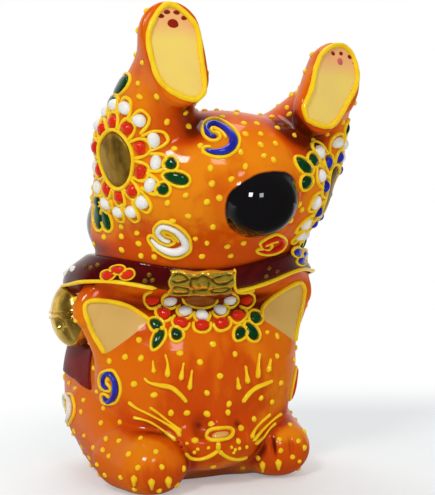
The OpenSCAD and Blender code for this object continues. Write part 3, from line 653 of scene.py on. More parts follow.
BLACK_PATCH = ((-22, 10, 65), (14, 25, 11.5))
BLACK_TAIL = (
    (225, 209), (226.7, 198), (231, 190.5), (237.5, 185.5), (247, 179), (257, 173.6), (265, 171.6),
    (275, 170.8), (286, 171.8), (293, 177), (297, 185.6), (297.6, 196), (295.5, 206), (290.5, 215.5),
    (284, 224), (276, 230.5), (267, 235), (257, 237.2), (247, 237), (237, 233), (229.2, 227), (226, 219),
)

RED_AND_SHADED_AREAS = (  # middle and half sizes of the redder areas: partly glaze that runs thick and red, partly painted shade
    ((-4, -30, 20), (22, 14, 20)), ((0, -28, 57), (38, 26, 15)), ((-24, -26, 54), (15, 16, 9)),
    ((4, -48, 60), (20, 14, 12)), ((12, -44, 84), (9, 12, 10)), ((28, -12, 24), (8, 16, 22)),
    ((-18, -31, 4), (11, 9, 7)), ((17, -28, 5), (11, 9, 8)),
)

FAR_OFF = 9.0  # mm to a painted edge that is not near
EAR_FRONT, BALL_BACK, PATCH_FRONT = -12, -38, -16  # depths where cream, black ball and black patch end
PAD_BLUSH = (9, 6)  # how far below the top of a sole its blush begins, and how long it grows


def red_and_shade(p):
    """How far inside a redder area each point lies: 1 in its middle, 0 from its edge on."""
    depth = [1 - np.linalg.norm((p - np.array(c)) / np.array(r, float), axis=-1) for c, r in RED_AND_SHADED_AREAS]
    return np.clip(1.6 * np.max(depth, axis=0), 0, 1)


def body_paint(p, n):
    """The painted areas of the body, as signed distances to their edges, and its redder areas, which are
    partly thick red glaze and partly painted shade.
    """
    cream = np.full(len(p), FAR_OFF)
    sole = np.zeros(len(p))
    blush = np.zeros(len(p))
    for i in (0, 1):
        d = polygon_distance(p[:, 0], p[:, 2], smooth_path(EAR_RIM[i], spacing=1.2))
        d = np.where((n[:, 1] < 0.1) & (p[:, 1] < EAR_FRONT), d, FAR_OFF)
        cream = np.minimum(cream, d)
        d, off = sole_distance(p, i)
        d = np.where((off < 1.2) & (n @ unit(SOLE_FACING[i]) > 0.6), d, FAR_OFF)
        sole[d < 1.5] = 1
        cream = np.minimum(cream, d)
        top = max(z for _, z in SOLE_OUTLINE[i])
        blush = np.maximum(blush, np.clip((p[:, 2] - top + PAD_BLUSH[0]) / PAD_BLUSH[1], 0, 1) * (d < 2))
    across, down = in_picture(p)
    disc = polygon_distance(across, down, smooth_path(BLACK_TAIL, True, 3)) / PX
    tail = np.where(p[:, 1] < BALL_BACK, np.minimum(tail_form(p, 0.4), disc), FAR_OFF)
    patch = blob(p, *BLACK_PATCH)
    black = np.minimum(tail, np.where(p[:, 1] > PATCH_FRONT, patch, FAR_OFF))
    return {"cream": cream, "sole": sole, "blush": blush, "black": black, "red_and_shade": red_and_shade(p)}


PIECE_NODES = {
    "torso": "torso_shell", "head": "head_shell", "ear_left": "ear_left", "ear_right": "ear_right",
    "foreleg_left": "foreleg_left", "foreleg_right": "foreleg_right",
    "hind_leg_left": "hind_leg_left", "hind_leg_right": "hind_leg_right", "tail_ball": "tail_ball",
}
paint = body_paint(points, normal)
PIT_SHADE_SPOTS = ((198, 425), (237, 424))  # the hollows beside the nose, in the picture, darkened there as painted shade
PIT_R, PIT_SHADE = 2.8, 0.7  # in mm, and how dark the painted shade is in the middle of each
pit_places = seen_on(skin, *PIT_SHADE_SPOTS)[0].round(1)
to_pit = np.min([np.linalg.norm(points - pit, axis=1) for pit in pit_places], axis=0)
# the hollow measure darkens the glaze in the clefts and at the pits: glaze pooling there and painted shade
paint["pool_and_shade"] = np.maximum(crease_of(points, normal), PIT_SHADE * np.clip(1 - to_pit / PIT_R, 0, 1))
face_owner = np.sort(owner[quads], axis=1)[:, 1]


def body_piece(index, name):
    mine = quads[face_owner == index]
    used, local = np.unique(mine, return_inverse=True)
    local = local.reshape(mine.shape)
    p, n = points[used], normal[used]
    attributes = {key: list(values[used]) for key, values in paint.items()}
    faces = [list(f) for f in local]
    heart = p.mean(0)
    for loop in closed_loops(local):
        ring = p[loop]
        middle = ring.mean(0) * 0.6 + heart * 0.4
        p = np.vstack([p, middle])
        n = np.vstack([n, unit(heart - middle + 1e-6)])
        for values in attributes.values():
            values.append(FAR_OFF)
        faces += [[loop[k], loop[(k + 1) % len(loop)], len(p) - 1] for k in range(len(loop))]
    piece(f"{name}_glaze", p, faces, GLAZE, "orange_glaze", [PIECE_NODES[name]], attributes, n)


for index, name in enumerate(FORMS):
    body_piece(index, name)


# ------------------------------------------------------------------ enamel work
TAKEN = []  # places that enamel already covers
FULL_TURN = 6.28


class Enamel:
    """Gathers beads, lines, leaves and dots of one colour into one piece."""

    def __init__(self):
        self.points, self.faces, self.count = [], [], 0

    def put(self, points, faces):
        self.points.append(points)
        self.faces += (np.asarray(faces) + self.count).tolist()
        self.count += len(points)

    def line(self, place, n, width, height=0.8, closed=False, wobble=0.1):
        """A trailed line with rounded ends on the given seats; width may change along it."""
        m = len(place)
        width = np.broadcast_to(np.asarray(width, float), (m,)).copy()
        phase = rng.uniform(0, FULL_TURN, 3)
        s = np.arange(m) * SPACING
        width *= 1 + wobble * (np.sin(s * 1.1 + phase[0]) + 0.6 * np.sin(s * 2.3 + phase[1])) / 1.6
        tall = height * (0.55 + 0.45 * width / max(width.mean(), 1e-6))
        ahead = np.roll(place, -1, 0) - np.roll(place, 1, 0) if closed else np.gradient(place, axis=0)
        if not closed:
            run = np.concatenate([[0], np.cumsum(np.linalg.norm(np.diff(place, axis=0), axis=1))])
            for far in (run, run[-1] - run):
                end = np.clip(far / (0.5 * width), 0, 1)
                shrink = np.sqrt(np.clip(1 - (1 - end) ** 2, 0.03, 1))
                width, tall = width * shrink, tall * shrink
        side = unit(np.cross(ahead, n))
        k = 10
        turn = 2 * np.pi * (np.arange(k) + 0.5) / k
        ring = (place[:, None] + side[:, None] * (np.cos(turn)[None, :, None] * (width / 2)[:, None, None])
                + n[:, None] * (np.where(np.sin(turn) > 0, np.sin(turn), 0.35 * np.sin(turn))[None, :, None]
                                * tall[:, None, None]))
        ids = np.arange(m * k).reshape(m, k)
        rows = m if closed else m - 1
        a, b = ids[:rows], np.roll(ids, -1, 0)[:rows] if closed else ids[1:]
        quads = np.stack([a, b, np.roll(b, -1, 1), np.roll(a, -1, 1)], -1).reshape(-1, 4).tolist()
        points = ring.reshape(-1, 3)
        if not closed:
            points = np.vstack([points, place[:1], place[-1:]])
            for j in range(k):
                quads.append([ids[0, j], ids[0, (j + 1) % k], m * k, m * k])
                quads.append([ids[-1, (j + 1) % k], ids[-1, j], m * k + 1, m * k + 1])
        self.put(points, quads)
        TAKEN.append(place[::3])

    def dome(self, place, n, ru, rv, height, turn=0.0, sides=14, rows=4, sink=0.3):
        """A drop of enamel: an oval dome with a full shoulder, its foot just inside the glaze."""
        n = unit(n)
        u = unit(np.cross((0, 0, 1.0), n))
        v = np.cross(n, u)
        u, v = u * math.cos(turn) + v * math.sin(turn), v * math.cos(turn) - u * math.sin(turn)
        angle = 2 * np.pi * np.arange(sides) / sides
        oval, uneven = rng.uniform(0, FULL_TURN), rng.uniform(0, FULL_TURN)
        shape = 1 + 0.05 * np.sin(2 * angle + oval) + 0.03 * np.sin(3 * angle + uneven)
        rings = [(1.0, -sink)]
        rings += [(math.cos(e), math.sin(e) * height) for e in np.linspace(0.12, 1.32, rows)]
        across, along = np.cos(angle) * shape * ru, np.sin(angle) * shape * rv
        points = [place + u * (across * w)[:, None] + v * (along * w)[:, None] + n * h for w, h in rings]
        points = np.vstack(points + [place + n * height, place - n * sink])
        faces = []
        for r in range(len(rings) - 1):
            for j in range(sides):
                a, b = r * sides + j, r * sides + (j + 1) % sides
                faces.append([a, b, b + sides, a + sides])
        top = (len(rings) - 1) * sides
        for j in range(sides):
            faces.append([top + j, top + (j + 1) % sides, len(points) - 2, len(points) - 2])
            faces.append([(j + 1) % sides, j, len(points) - 1, len(points) - 1])
        self.put(points, faces)

    def finish(self, name, material, slot, replaces=()):
        faces = [f[:3] if f[2] == f[3] else f for f in self.faces]
        piece(name, np.vstack(self.points), faces, MATERIALS[material], slot, replaces)

    def cover(self, node, colour):
        """Finishes the enamel that takes the place of one CAD node."""
        self.finish(f"{node}_enamel", colour, f"{colour}_enamel", [node])


def on_skin(path, way, field=skin, back_off=14.0):
    """Seats a path of places near the body on it, coming in along way."""
    way = unit(way)
    return land(field, np.asarray(path, float) - way * back_off, np.broadcast_to(way, np.shape(path)))


class Plate:
    """A flat drawing board held against the body: (u, v) in mm, u to the viewer's right, v up."""

    def __init__(self, centre, facing, field=skin, reach=14.0, turn=0.0):
        self.c, self.n, self.field, self.reach = np.array(centre, float), unit(facing), field, reach
        level = unit(np.cross((0, 0, 1.0), self.n))
        a = math.radians(turn)
        self.u = level * math.cos(a) + np.cross(self.n, level) * math.sin(a)
        self.v = np.cross(self.n, self.u)

    def lay(self, uv):
        uv = np.atleast_2d(np.asarray(uv, float))
        start = self.c + uv[:, :1] * self.u + uv[:, 1:] * self.v + self.n * self.reach
        return land(self.field, start, np.broadcast_to(-self.n, start.shape))


def pixel_line(enamel, pixels, width, height=0.7, closed=False, taper=None, field=skin):
    """A line through places of the picture; taper is its share of the width from end to end."""
    path = smooth_path(pixels, closed, spacing=1.7)
    if taper is not None:
        width = widths_along(path, np.array(taper) * width)
    enamel.line(*seen_on(field, *path), width, height, closed)


def pixel_dome(enamel, pixel, ru, rv, height, turn=0.0, field=skin, sides=14, rows=4):
    p, n = seen_on(field, pixel)
    enamel.dome(p[0], n[0], ru, rv, height, turn, sides, rows)
    TAKEN.append(p)


def pixel_cell(enamel, pixel, heart, half, back, ahead, width=0.95, field=skin):
    """A U of enamel round one bead, open towards the heart of the garland."""
    c, h = np.array(pixel, float), np.array(heart, float)
    d = unit(c - h)
    s = np.array([-d[1], d[0]])
    u_shape = ((-0.9, -back), (-1.0, 0), (-0.85, ahead * 0.62), (-0.45, ahead * 0.93), (0, ahead),
               (0.45, ahead * 0.93), (0.85, ahead * 0.62), (1.0, 0), (0.9, -back))
    pixel_line(enamel, [c + s * half * x + d * y for x, y in u_shape], width, 0.65, field=field)


def pixel_leaf(fill, edge, pixel, degrees, length, width, field=skin, edge_width=0.8, gap=2.3):
    """A leaf-shaped drop drawn in the picture plane and seated on the form, fenced in yellow."""
    a = math.radians(degrees)
    d, s = np.array([math.cos(a), -math.sin(a)]), np.array([math.sin(a), math.cos(a)])
    c = np.array(pixel, float)

    def outline(grow):
        long, wide = length / 2 + grow, width / 2 + grow
        return [c + d * long * math.cos(t) + s * wide * math.sin(t) * (1 + 0.2 * math.cos(t))
                for t in np.linspace(0, 2 * math.pi, 12, endpoint=False)]

    filled_shape(fill, outline(0.3), 0.95, field)
    pixel_line(edge, outline(gap), edge_width, 0.65, closed=True, field=field)


def turned_over(faces):
    """The same faces from their other side; a triangle is a quad that says its last corner twice."""
    return [f[::-1] if f[2] != f[3] else [f[1], f[0], f[2], f[2]] for f in faces]


def filled_shape(enamel, outline, height, field=skin):
    """A pool of enamel inside an outline given in picture places, domed like a drop."""
    path = smooth_path(outline, True, spacing=1.6)
    heart = path.mean(0)
    rings = ((1.0, -0.35), (1.0, 0.18), (0.93, 0.55), (0.78, 0.82), (0.5, 0.97), (0.2, 1.0))
    layers = []
    for w, h in rings:
        p, n = seen_on(field, *(heart + (path - heart) * w))
        layers.append(p + n * (h * height))
    p, n = seen_on(field, heart)
    m = len(path)
    points = np.vstack(layers + [p + n * height, p - n * 0.4])
    faces = []
    for r in range(len(rings) - 1):
        for j in range(m):
            a, b = r * m + j, r * m + (j + 1) % m
            faces.append([a, a + m, b + m, b])
    top = (len(rings) - 1) * m
    for j in range(m):
        b = (j + 1) % m
        faces.append([top + b, top + j, len(points) - 2, len(points) - 2])
        faces.append([j, b, len(points) - 1, len(points) - 1])
    around_it = np.cross(layers[0] - p, np.roll(layers[0], -1, 0) - p).sum(0) @ n[0]
    if around_it > 0:
        faces = turned_over(faces)
    enamel.put(points, faces)
    TAKEN.append(layers[0][::4])


def leaf_outline(length, width, count=14):
    t = np.linspace(0, 2 * np.pi, count, endpoint=False)
    return np.stack([length / 2 * np.cos(t), width / 2 * np.sin(t) * (1 + 0.25 * np.cos(t))], -1)


def place_leaf(plate, centre, turn, length, width, fill, edge, edge_width=0.9):
    """A drop of leaf green in its own yellow fence."""
    co, si = math.cos(turn), math.sin(turn)
    spin = np.array([[co, si], [-si, co]])
    p, n = plate.lay(centre)
    fill.dome(p[0], n[0], length / 2, width / 2, 0.95, turn, sides=18, rows=5)
    outline = leaf_outline(length + 1.7, width + 1.7) @ spin + np.array(centre)
    q, m = plate.lay(smooth_path(outline, closed=True))
    edge.line(q, m, edge_width, 0.65, closed=True)


# ---- the flower on each flank
FLANKS = (  # inner and outer count the beads, phase is the bearing of the first, way the direction round
    dict(centre=(-28.6, -31, 78.4), facing=(-0.87, -0.46, -0.1), turn=-5,
         inner=10, outer=15, phase=18, way=1),
    dict(centre=(27, -38.3, 71.3), facing=(0.82, -0.53, -0.2), turn=0,
         inner=8, outer=12, phase=2, way=-1),
)
DISC_R, INNER_R, OUTER_R = (4.6, 6.2), (7.0, 8.6), (10.0, 12.3)
DISC_RINGS, DISC_SPOKES = 7, 36
BEAD_RINGS = {  # start turns the first bead on, half holds the bead's half sizes, petal its line's two ovals
    "inner": dict(radii=INNER_R, start=0, half=(1.4, 1.65), spread=0.1, height=1.25,
                  petal=(np.array(DISC_R) + 0.6, np.array(INNER_R) + 2.0)),
    "outer": dict(radii=OUTER_R, start=-21, half=(1.55, 1.8), spread=0.12, height=1.35,
                  petal=(np.array(INNER_R) + 1.2, np.array(OUTER_R) + 2.3)),
}
TOP_SPRAY = ((122, 3.2, 40, 3.2, 2.0), (104, 4.6, 10, 5.6, 2.0), (88, 3.4, -30, 3.0, 2.0))
LOW_SPRAY = ((-112, 4.0, 20, 4.8, 2.0), (-128, 4.6, 0, 5.2, 2.0), (-144, 3.4, -20, 3.4, 2.0))
FLANK_LEAVES = (  # angle round the ring, distance beyond it, turn off the spoke, length, width
    (), TOP_SPRAY + LOW_SPRAY,
)
SEEN_LEAVES = (  # place in the picture, turn, length and width there
    (170.6, 164, 12, 11, 10), (176.5, 178.2, -14, 24, 10), (163, 189, 20, 10.5, 9.5),
    (121, 86, 56, 24, 7.5), (112.5, 101, 62, 12, 6.5),
    (99.3, 215.5, -86, 26, 6.2), (107, 219.5, -76, 20, 5.4), (98, 200.5, -105, 8, 4.5),
    (303, 165.5, -46, 19, 7.5), (312.5, 160, -72, 11, 7), (305.5, 182.5, 66, 12, 7.5),
)


def ring_point(radii, degrees, way=1, swell=0.0):
    a = math.radians(degrees)
    return np.array([way * (radii[0] + swell) * math.cos(a), (radii[1] + swell) * math.sin(a)])


def petal(r_in, r_out, middle, half, way, count=9):
    """A U round one bead: up one side, over its far end and down the other, open to the middle."""
    points = []
    for t in np.linspace(-1, 1, count):
        grow = 1 - abs(t) ** 3.2
        radii = np.array(r_in) * (1 - grow) + np.array(r_out) * grow
        points.append(ring_point(radii, middle + half * t * (1.06 - 0.16 * abs(t)), way))
    return points


def gilt_disc(plate, way, gold):
    """The domed oval in the middle of a flower, a grid of rings and spokes."""
    spokes = range(0, 360, 360 // DISC_SPOKES)
    grid = [(0.0, 0.0)]
    for ring in range(1, DISC_RINGS + 1):
        grid += [tuple(ring_point(np.array(DISC_R) * ring / DISC_RINGS, a, way)) for a in spokes]
    seat, n = plate.lay(grid)
    r = np.array([0.0] + [k / DISC_RINGS for k in range(1, DISC_RINGS + 1) for _ in spokes])
    low = seat - n * 0.5
    top = seat + n * (0.55 * np.sqrt(np.clip(1.02 - r ** 4, 0, 1)))[:, None]
    faces = []
    for a in range(DISC_SPOKES):
        b = (a + 1) % DISC_SPOKES
        faces.append([0, 1 + a, 1 + b, 1 + b])
        for k in range(1, 1 + (DISC_RINGS - 1) * DISC_SPOKES, DISC_SPOKES):
            faces.append([k + a, k + DISC_SPOKES + a, k + DISC_SPOKES + b, k + b])
    m = len(top)
    under = []
    for f in faces:
        corners = (f[0], f[3], f[2], f[1]) if f[2] != f[3] else (f[0], f[2], f[1], f[1])
        under.append([corner + m for corner in corners])
    last = 1 + (DISC_RINGS - 1) * DISC_SPOKES
    rim = []
    for a in range(DISC_SPOKES):
        b = (a + 1) % DISC_SPOKES
        rim.append([last + a, last + a + m, last + b + m, last + b])
    faces = faces + under + rim
    gold.put(np.vstack([top, low]), turned_over(faces) if way < 0 else faces)
    TAKEN.append(top[::2])


def bead_ring(plate, spec, name, beads, lines):
    """A ring of beads round the disc, each in its own petal of yellow line."""
    ring, way, count = BEAD_RINGS[name], spec["way"], spec[name]
    step = 360 / count
    for b in range(count):
        at = spec["phase"] + ring["start"] + step * b
        p, n = plate.lay(ring_point(ring["radii"], at, way))
        ru, rv = (half + rng.uniform(-ring["spread"], ring["spread"]) for half in ring["half"])
        beads.dome(p[0], n[0], ru, rv, ring["height"], way * math.radians(at))
        u_shape = petal(*ring["petal"], at, step * 0.5, way)
        lines.line(*plate.lay(smooth_path(u_shape)), 0.82, 0.65, wobble=0.2)
        TAKEN.append(p)


def flank_flower(i, gold, inner, outer, leaves, lines):
    spec = FLANKS[i]
    plate = Plate(spec["centre"], spec["facing"], turn=spec["turn"])
    way = spec["way"]
    gilt_disc(plate, way, gold)
    ring = np.array([ring_point(DISC_R, a, way, 0.5) for a in range(0, 360, 12)])
    lines.line(*plate.lay(smooth_path(ring, True)), 1.0, 0.75, closed=True)
    bead_ring(plate, spec, "inner", inner, lines)
    bead_ring(plate, spec, "outer", outer, lines)
    for angle, beyond, twist, length, width in FLANK_LEAVES[i]:
        c = ring_point(OUTER_R, angle, way, beyond)
        spoke = math.atan2(c[1], c[0]) + way * math.radians(twist)
        place_leaf(plate, c, spoke, length, width, leaves, lines)


gold_discs, red, blue, white, leaves, flank_lines = (Enamel() for _ in range(6))
flank_flower(0, gold_discs, red, white, leaves, flank_lines)
flank_flower(1, gold_discs, blue, white, leaves, flank_lines)
gold_discs.finish("flank_discs_gilt", "matt_gold", "gilding", ["flank_discs"])
red.cover("flank_red_beads", "red")
blue.cover("flank_blue_beads", "blue")
white.cover("flank_outer_beads", "white")
for x, y, turn, length, width in SEEN_LEAVES:
    pixel_leaf(leaves, flank_lines, (x, y), turn, length, width)
leaves.cover("flank_leaves", "green")
flank_lines.cover("flank_petal_lines", "yellow")

# ---- lines of the face, ears and soles
FACE = Plate((0, -24, 0), (0, -1, 0), reach=26)
ears = Enamel()
for rim in EAR_RIM:
    ears.line(*FACE.lay(smooth_path(rim)), 1.2, 0.85)
ears.cover("ear_rims", "yellow")

soles = Enamel()
for ring, facing in zip(SOLE_RINGS, SOLE_FACING):
    soles.line(*on_skin(ring, -unit(facing)), 1.3, 0.8, closed=True)
soles.cover("sole_outlines", "yellow")

LID_LEFT = (
    (143.8, 377.7), (149, 382.4), (158.3, 385), (170.8, 387.4), (178.1, 392.6), (183.3, 398),
    (187.1, 402.7),
)
LID_RIGHT = ((272.9, 380.4), (264.6, 384), (255.2, 388.1), (247.9, 394.4), (242.1, 402.7))
LASHES = (
    ((153, 360), (153.4, 366.5), (154.2, 373.5)), ((165, 353.8), (167.7, 364.2), (167.3, 377.7)),
    ((184, 362), (182.3, 370.4), (180.6, 380.8)), ((192.1, 369.4), (190.8, 379), (189.2, 390.2)),
    ((237.3, 376.7), (237.8, 383), (238.8, 390.2)), ((245.2, 365.2), (246.3, 374.6), (247.5, 384)),
    ((259.4, 352.7), (257.9, 364.2), (257.3, 378.8)), ((270.4, 357.9), (268.8, 366.3), (267.7, 372.5)),
)
WHISKERS = (
    ((128.1, 401.5), (136.5, 408), (151.3, 415.4), (166.1, 423.7), (175.4, 430.2), (180.9, 436.7)),
    ((149.4, 407), (158.7, 413.5), (168, 421), (177.2, 428.3), (181.5, 432.5)),
    ((132.8, 417.2), (147.6, 421), (158.7, 427.4), (168, 434.8), (175.8, 441)),
    ((270.6, 413.5), (260.4, 422.8), (253.9, 431.1), (251.1, 438.5)),
    ((281.6, 413.2), (271.5, 420.9), (262.2, 430.2), (252.6, 441)),
    ((276.1, 422.8), (269.6, 429.3), (263.6, 436.7), (254.8, 444)),
)
NOSE_FILL = (
    (212, 435.5), (216, 432.5), (222, 431.6), (228, 432), (228.8, 434.8), (225, 437), (219, 438.6),
    (213.5, 438),
)
NOSE_LINE = (
    (208.6, 432), (213, 429.3), (220, 428.4), (227, 428), (231.6, 429.8), (231.8, 434.6), (227.6, 438.2),
    (219, 440), (211.5, 440), (206.6, 437),
)
MOUTH = (
    ((218.2, 450), (212.5, 454.3), (204.8, 457.8), (197.4, 459), (190, 457.6), (184.8, 453.2)),
    ((218.6, 450), (222.5, 454), (228, 457.3), (234.4, 459), (241.9, 458.4), (247.4, 456.1)),
)
PHILTRUM = ((218.4, 441), (218.2, 446), (218.3, 451))
LID_TAPERS = ((0.6, 0.65, 0.9, 1.15, 1.1, 0.9, 0.9), (0.8, 1.0, 1.05, 1.1, 0.9))
LASH_TAPER = (0.75, 0.55, 0.6, 0.9, 1.35, 1.25)
WHISKER_TAPER = (1.25, 0.8, 0.75, 0.8, 1.0, 1.6)
MOUTH_TAPER = (1.2, 1, 0.9, 0.9, 1)

features = Enamel()
for lid, taper in zip((LID_LEFT, LID_RIGHT), LID_TAPERS):
    pixel_line(features, lid, 1.15, 0.75, taper=taper)
for stroke in LASHES:
    pixel_line(features, stroke, 1.0, 0.8, taper=LASH_TAPER)
for hair in WHISKERS:
    pixel_line(features, hair, 0.78, 0.6, taper=WHISKER_TAPER)
nose = Enamel()
filled_shape(nose, NOSE_FILL, 0.35)
nose.finish("nose_enamel", "tan", "orange_glaze")
pixel_line(features, NOSE_LINE, 0.95, 0.8, closed=True)
pixel_line(features, PHILTRUM, 1.3, 0.7)
for half in MOUTH:
    pixel_line(features, half, 0.95, 0.65, taper=MOUTH_TAPER)
features.cover("face_lines", "yellow")

# ------------------------------------------------------------------ collar, bib, plaque and bell
NECK = (0, -7.8)
BIB_FRONT = 72
COLLAR_T, BIB_T = 1.1, 0.55
COLLAR_SUNK, BIB_SUNK = 0.9, 0.7  # how far each reaches into the clay
EASE = np.linspace(-9, 9, 7)  # degrees over which the corners of an edge are rounded
HEM_MIDDLE, HEM_BOW, HEM_SPAN = 82, 60, 84  # the lower edge of the bib is part of an oval
HEM_SLOPE, HEM_DROP = 0.12, 0.15  # it falls towards the front, and faster before the middle
AROUND_R = 48  # well outside the collar
# bearing and height of the edges; in the stretch that the picture shows, they come from where its
# sight lines met the body
COLLAR_LOW = (
    (-180, 48), (-120, 48.5), (-92, 49.4), (-66, 50.7), (-51, 49.5), (-43, 48.3), (-18, 46.6), (6, 47.6),
    (18, 48.3), (30, 50.3), (48, 52.6), (70, 52), (100, 49.8), (140, 48), (180, 48),
)
COLLAR_HIGH = ((-180, 57.5), (-100, 57.6), (-76, 57.1), (-56, 55.7), (-36, 53.7), (-20, 52.9), (-2, 53.2),
               (19, 55.5), (34, 57.1), (60, 58), (110, 57.6), (180, 57.5))


def bearing(p):
    """Degrees round the neck: 0 faces the front, positive to the viewer's right."""
    return np.degrees(np.arctan2(p[..., 0] - NECK[0], -(p[..., 1] - NECK[1])))


def edge_height(table, degrees):
    at, z = np.array(table, float).T
    return np.mean([np.interp((degrees + e + 180) % 360 - 180, at, z) for e in EASE], axis=0)


def collar_form(p):
    b = bearing(p)
    trunk = skin(p)
    shell = np.maximum(trunk - COLLAR_T, -trunk - COLLAR_SUNK)
    shell = carved(shell, p[..., 2] - edge_height(COLLAR_HIGH, b), k=0.3)
    return carved(shell, edge_height(COLLAR_LOW, b) - p[..., 2], k=0.3)


def hem_height(p):
    arc = HEM_MIDDLE - HEM_BOW * np.sqrt(np.clip(1 - (p[..., 0] / HEM_SPAN) ** 2, 0.1, 1))
    return arc + HEM_SLOPE * p[..., 1] + HEM_DROP * np.minimum(p[..., 1], 0)


def bib_form(p):
    head = np.minimum.reduce([head_form(p), ear_form(p, 0), ear_form(p, 1)])
    trunk = skin(p)
    shell = np.maximum(trunk - BIB_T, -trunk - BIB_SUNK)
    shell = np.maximum(shell, p[..., 2] - edge_height(COLLAR_LOW, bearing(p)) - 0.6)
    shell = np.maximum(shell, (BIB_FRONT - np.abs(bearing(p))) * 0.4)
    return carved(np.maximum(shell, hem_height(p) - p[..., 2]), 0.5 * (torso_form(p) - head), k=0.25)


def around(table, shift, field, step=2.0, first=-180.0, last=180.0):
    """Seats a ring at a height given by bearing, coming in level from outside."""
    degrees = np.arange(first, last, step)
    way = np.stack([np.sin(np.radians(degrees)), -np.cos(np.radians(degrees)), 0 * degrees], -1)
    start = np.array([*NECK, 0]) + way * AROUND_R
    start[:, 2] = edge_height(table, degrees) + shift
    return land(field, start, -way)


FINE = 0.42
COLLAR_BOX = ((-37, -40, 40), (37, 22, 61))
BIB_BOX = ((-37, -30, 18), (37, 34, 54))
collar_mesh = skin_mesh(collar_form, *COLLAR_BOX, FINE, polish=1)
piece("collar_band_glaze", *collar_mesh, MATERIALS["maroon"], "maroon_glaze", ["collar_band"])
bib_mesh = skin_mesh(bib_form, *BIB_BOX, FINE * 1.15, polish=1)
piece("bib_glaze", *bib_mesh, MATERIALS["bib"], "maroon_glaze", ["bib"])


def over_collar(p):
    return skin(p) - COLLAR_T


trim = Enamel()
TRIM_ENDS = (5, 319)  # bearings: the rest of the trim is COLLAR_END
COLLAR_END = (
    (234.6, 268.5), (234, 276), (234.2, 285), (236.5, 290.3), (241, 292), (247, 291.4), (255, 289),
)
trim.line(*around(COLLAR_LOW, 0.2, over_collar, first=TRIM_ENDS[0], last=TRIM_ENDS[1]), 0.95, 0.8)
pixel_line(trim, COLLAR_END, 0.85, 0.7, field=over_collar)
trim.cover("collar_trim", "yellow")

# ---- gilt plaque at the nape: a slab pressed with coins
PLAQUE_AT, PLAQUE_FACING = (-7.9, -31, 49.9), (-0.3, -0.86, -0.42)
PLAQUE_HALF, PLAQUE_T, PLAQUE_TURN = (7.95, 3.5), 1.15, -2.8
PLAQUE_GRID = (75, 33)
WAVE_ACROSS, WAVE_UP = 0.035, 0.04
COIN_GROOVE, COIN_BOSS = 0.5, 0.4
COINS = (
    (-5.7, 1.7, 2.1, 1.4), (-5.2, -1.7, 2.4, 1.4), (-0.7, 0.3, 2.9, 2.6), (4.8, 1.4, 2.8, 1.6),
    (4.6, -1.8, 2.6, 1.0),
)


def make_plaque():
    """A slab with wavy edges and a rounded rim; each coin is a boss in its own ring-shaped groove."""
    plate = Plate(PLAQUE_AT, PLAQUE_FACING, over_collar, turn=PLAQUE_TURN)
    cols, rows = PLAQUE_GRID
    u, v = np.meshgrid(np.linspace(-1, 1, cols), np.linspace(-1, 1, rows))
    wave = 1 + WAVE_ACROSS * np.sin(v * 5 + 1.3) * np.abs(u) ** 3
    across, up = u * PLAQUE_HALF[0] * wave, v * PLAQUE_HALF[1] * (1 + WAVE_UP * np.sin(u * 7))
    uv = np.stack([across, up], -1).reshape(-1, 2)
    seat, n = plate.lay(uv)
    edge = np.clip((1 - np.maximum(np.abs(u), np.abs(v))) * 7, 0, 1).reshape(-1)
    height = PLAQUE_T * np.sqrt(edge)
    for cu, cv, ru, rv in COINS:
        d = np.hypot((uv[:, 0] - cu) / ru, (uv[:, 1] - cv) / rv)
        d += 0.09 * np.sin(uv[:, 0] * 1.3 + uv[:, 1] * 1.9 + cu)
        height -= COIN_GROOVE * np.clip(1.15 - d, 0, 0.3) / 0.3 * (d < 1.15) * edge
        height += COIN_BOSS * np.clip(0.75 - d, 0, 0.5) / 0.5 * edge
    height += 0.07 * np.sin(uv[:, 0] * 2.1 + uv[:, 1] * 1.7) * edge
    top = seat + n * height[:, None]
    low = seat - n * 0.5
    ids = np.arange(cols * rows).reshape(rows, cols)
    a, b, c, d = ids[:-1, :-1], ids[:-1, 1:], ids[1:, 1:], ids[1:, :-1]
    quads = np.stack([a, b, c, d], -1).reshape(-1, 4)
    m = cols * rows
    border = np.concatenate([ids[0, :-1], ids[:-1, -1], ids[-1, :0:-1], ids[:0:-1, 0]])
    nxt = np.roll(border, -1)
    rim = np.stack([border, border + m, nxt + m, nxt], -1)
    faces = np.vstack([quads, quads[:, ::-1] + m, rim])
    both = np.vstack([top, low])
    piece("nape_plaque_gilt", both, faces, MATERIALS["coin_gold"], "gilding", ["nape_plaque"])
    TAKEN.append(seat[::9])


make_plaque()

# ---- round bell hanging at the side: belt round the middle, slot with round ends below it
BELL_AT, BELL_R = (-29.4, -1.8, 42.3), (5.9, 7.0, 8.4)
BELT_R, BELT_HALF, BELT_DROP = (6.35, 7.45, 8.8), 0.75, 0.2
LOOP = ((0.6, -0.5, 7.2), (0.8, -0.6, 9.2), 2.0, 1.5)
SLOT = ((-4.6, -4.2, -2.4), (-1.6, -4.2, -8.2), 0.75, 0.75)
SLOT_END = ((-5.2, -3.2, -2.4), (1.5, 1.5, 1.5))
BELL_BOX = ((-37.5, -11, 29), (-19, 8, 54.5))
BELL_STEP = 0.3


def bell_form(p):
    q = p - np.array(BELL_AT, float)
    body = blob(q, (0, 0, 0), BELL_R)
    off_belt = q[..., 2] + BELT_DROP
    belt = np.maximum(blob(q, (0, 0, 0), BELT_R), np.abs(off_belt) - BELT_HALF)
    groove = np.abs(np.hypot(body - 0.25, off_belt)) - 0.32
    shape = melted(body, belt, limb(q, *LOOP), k=0.35)
    shape = carved(shape, -groove, k=0.25)
    shape = carved(carved(shape, -limb(q, *SLOT), k=0.2), -blob(q, *SLOT_END), k=0.2)
    return np.maximum(shape, -skin(p) - 1.0)


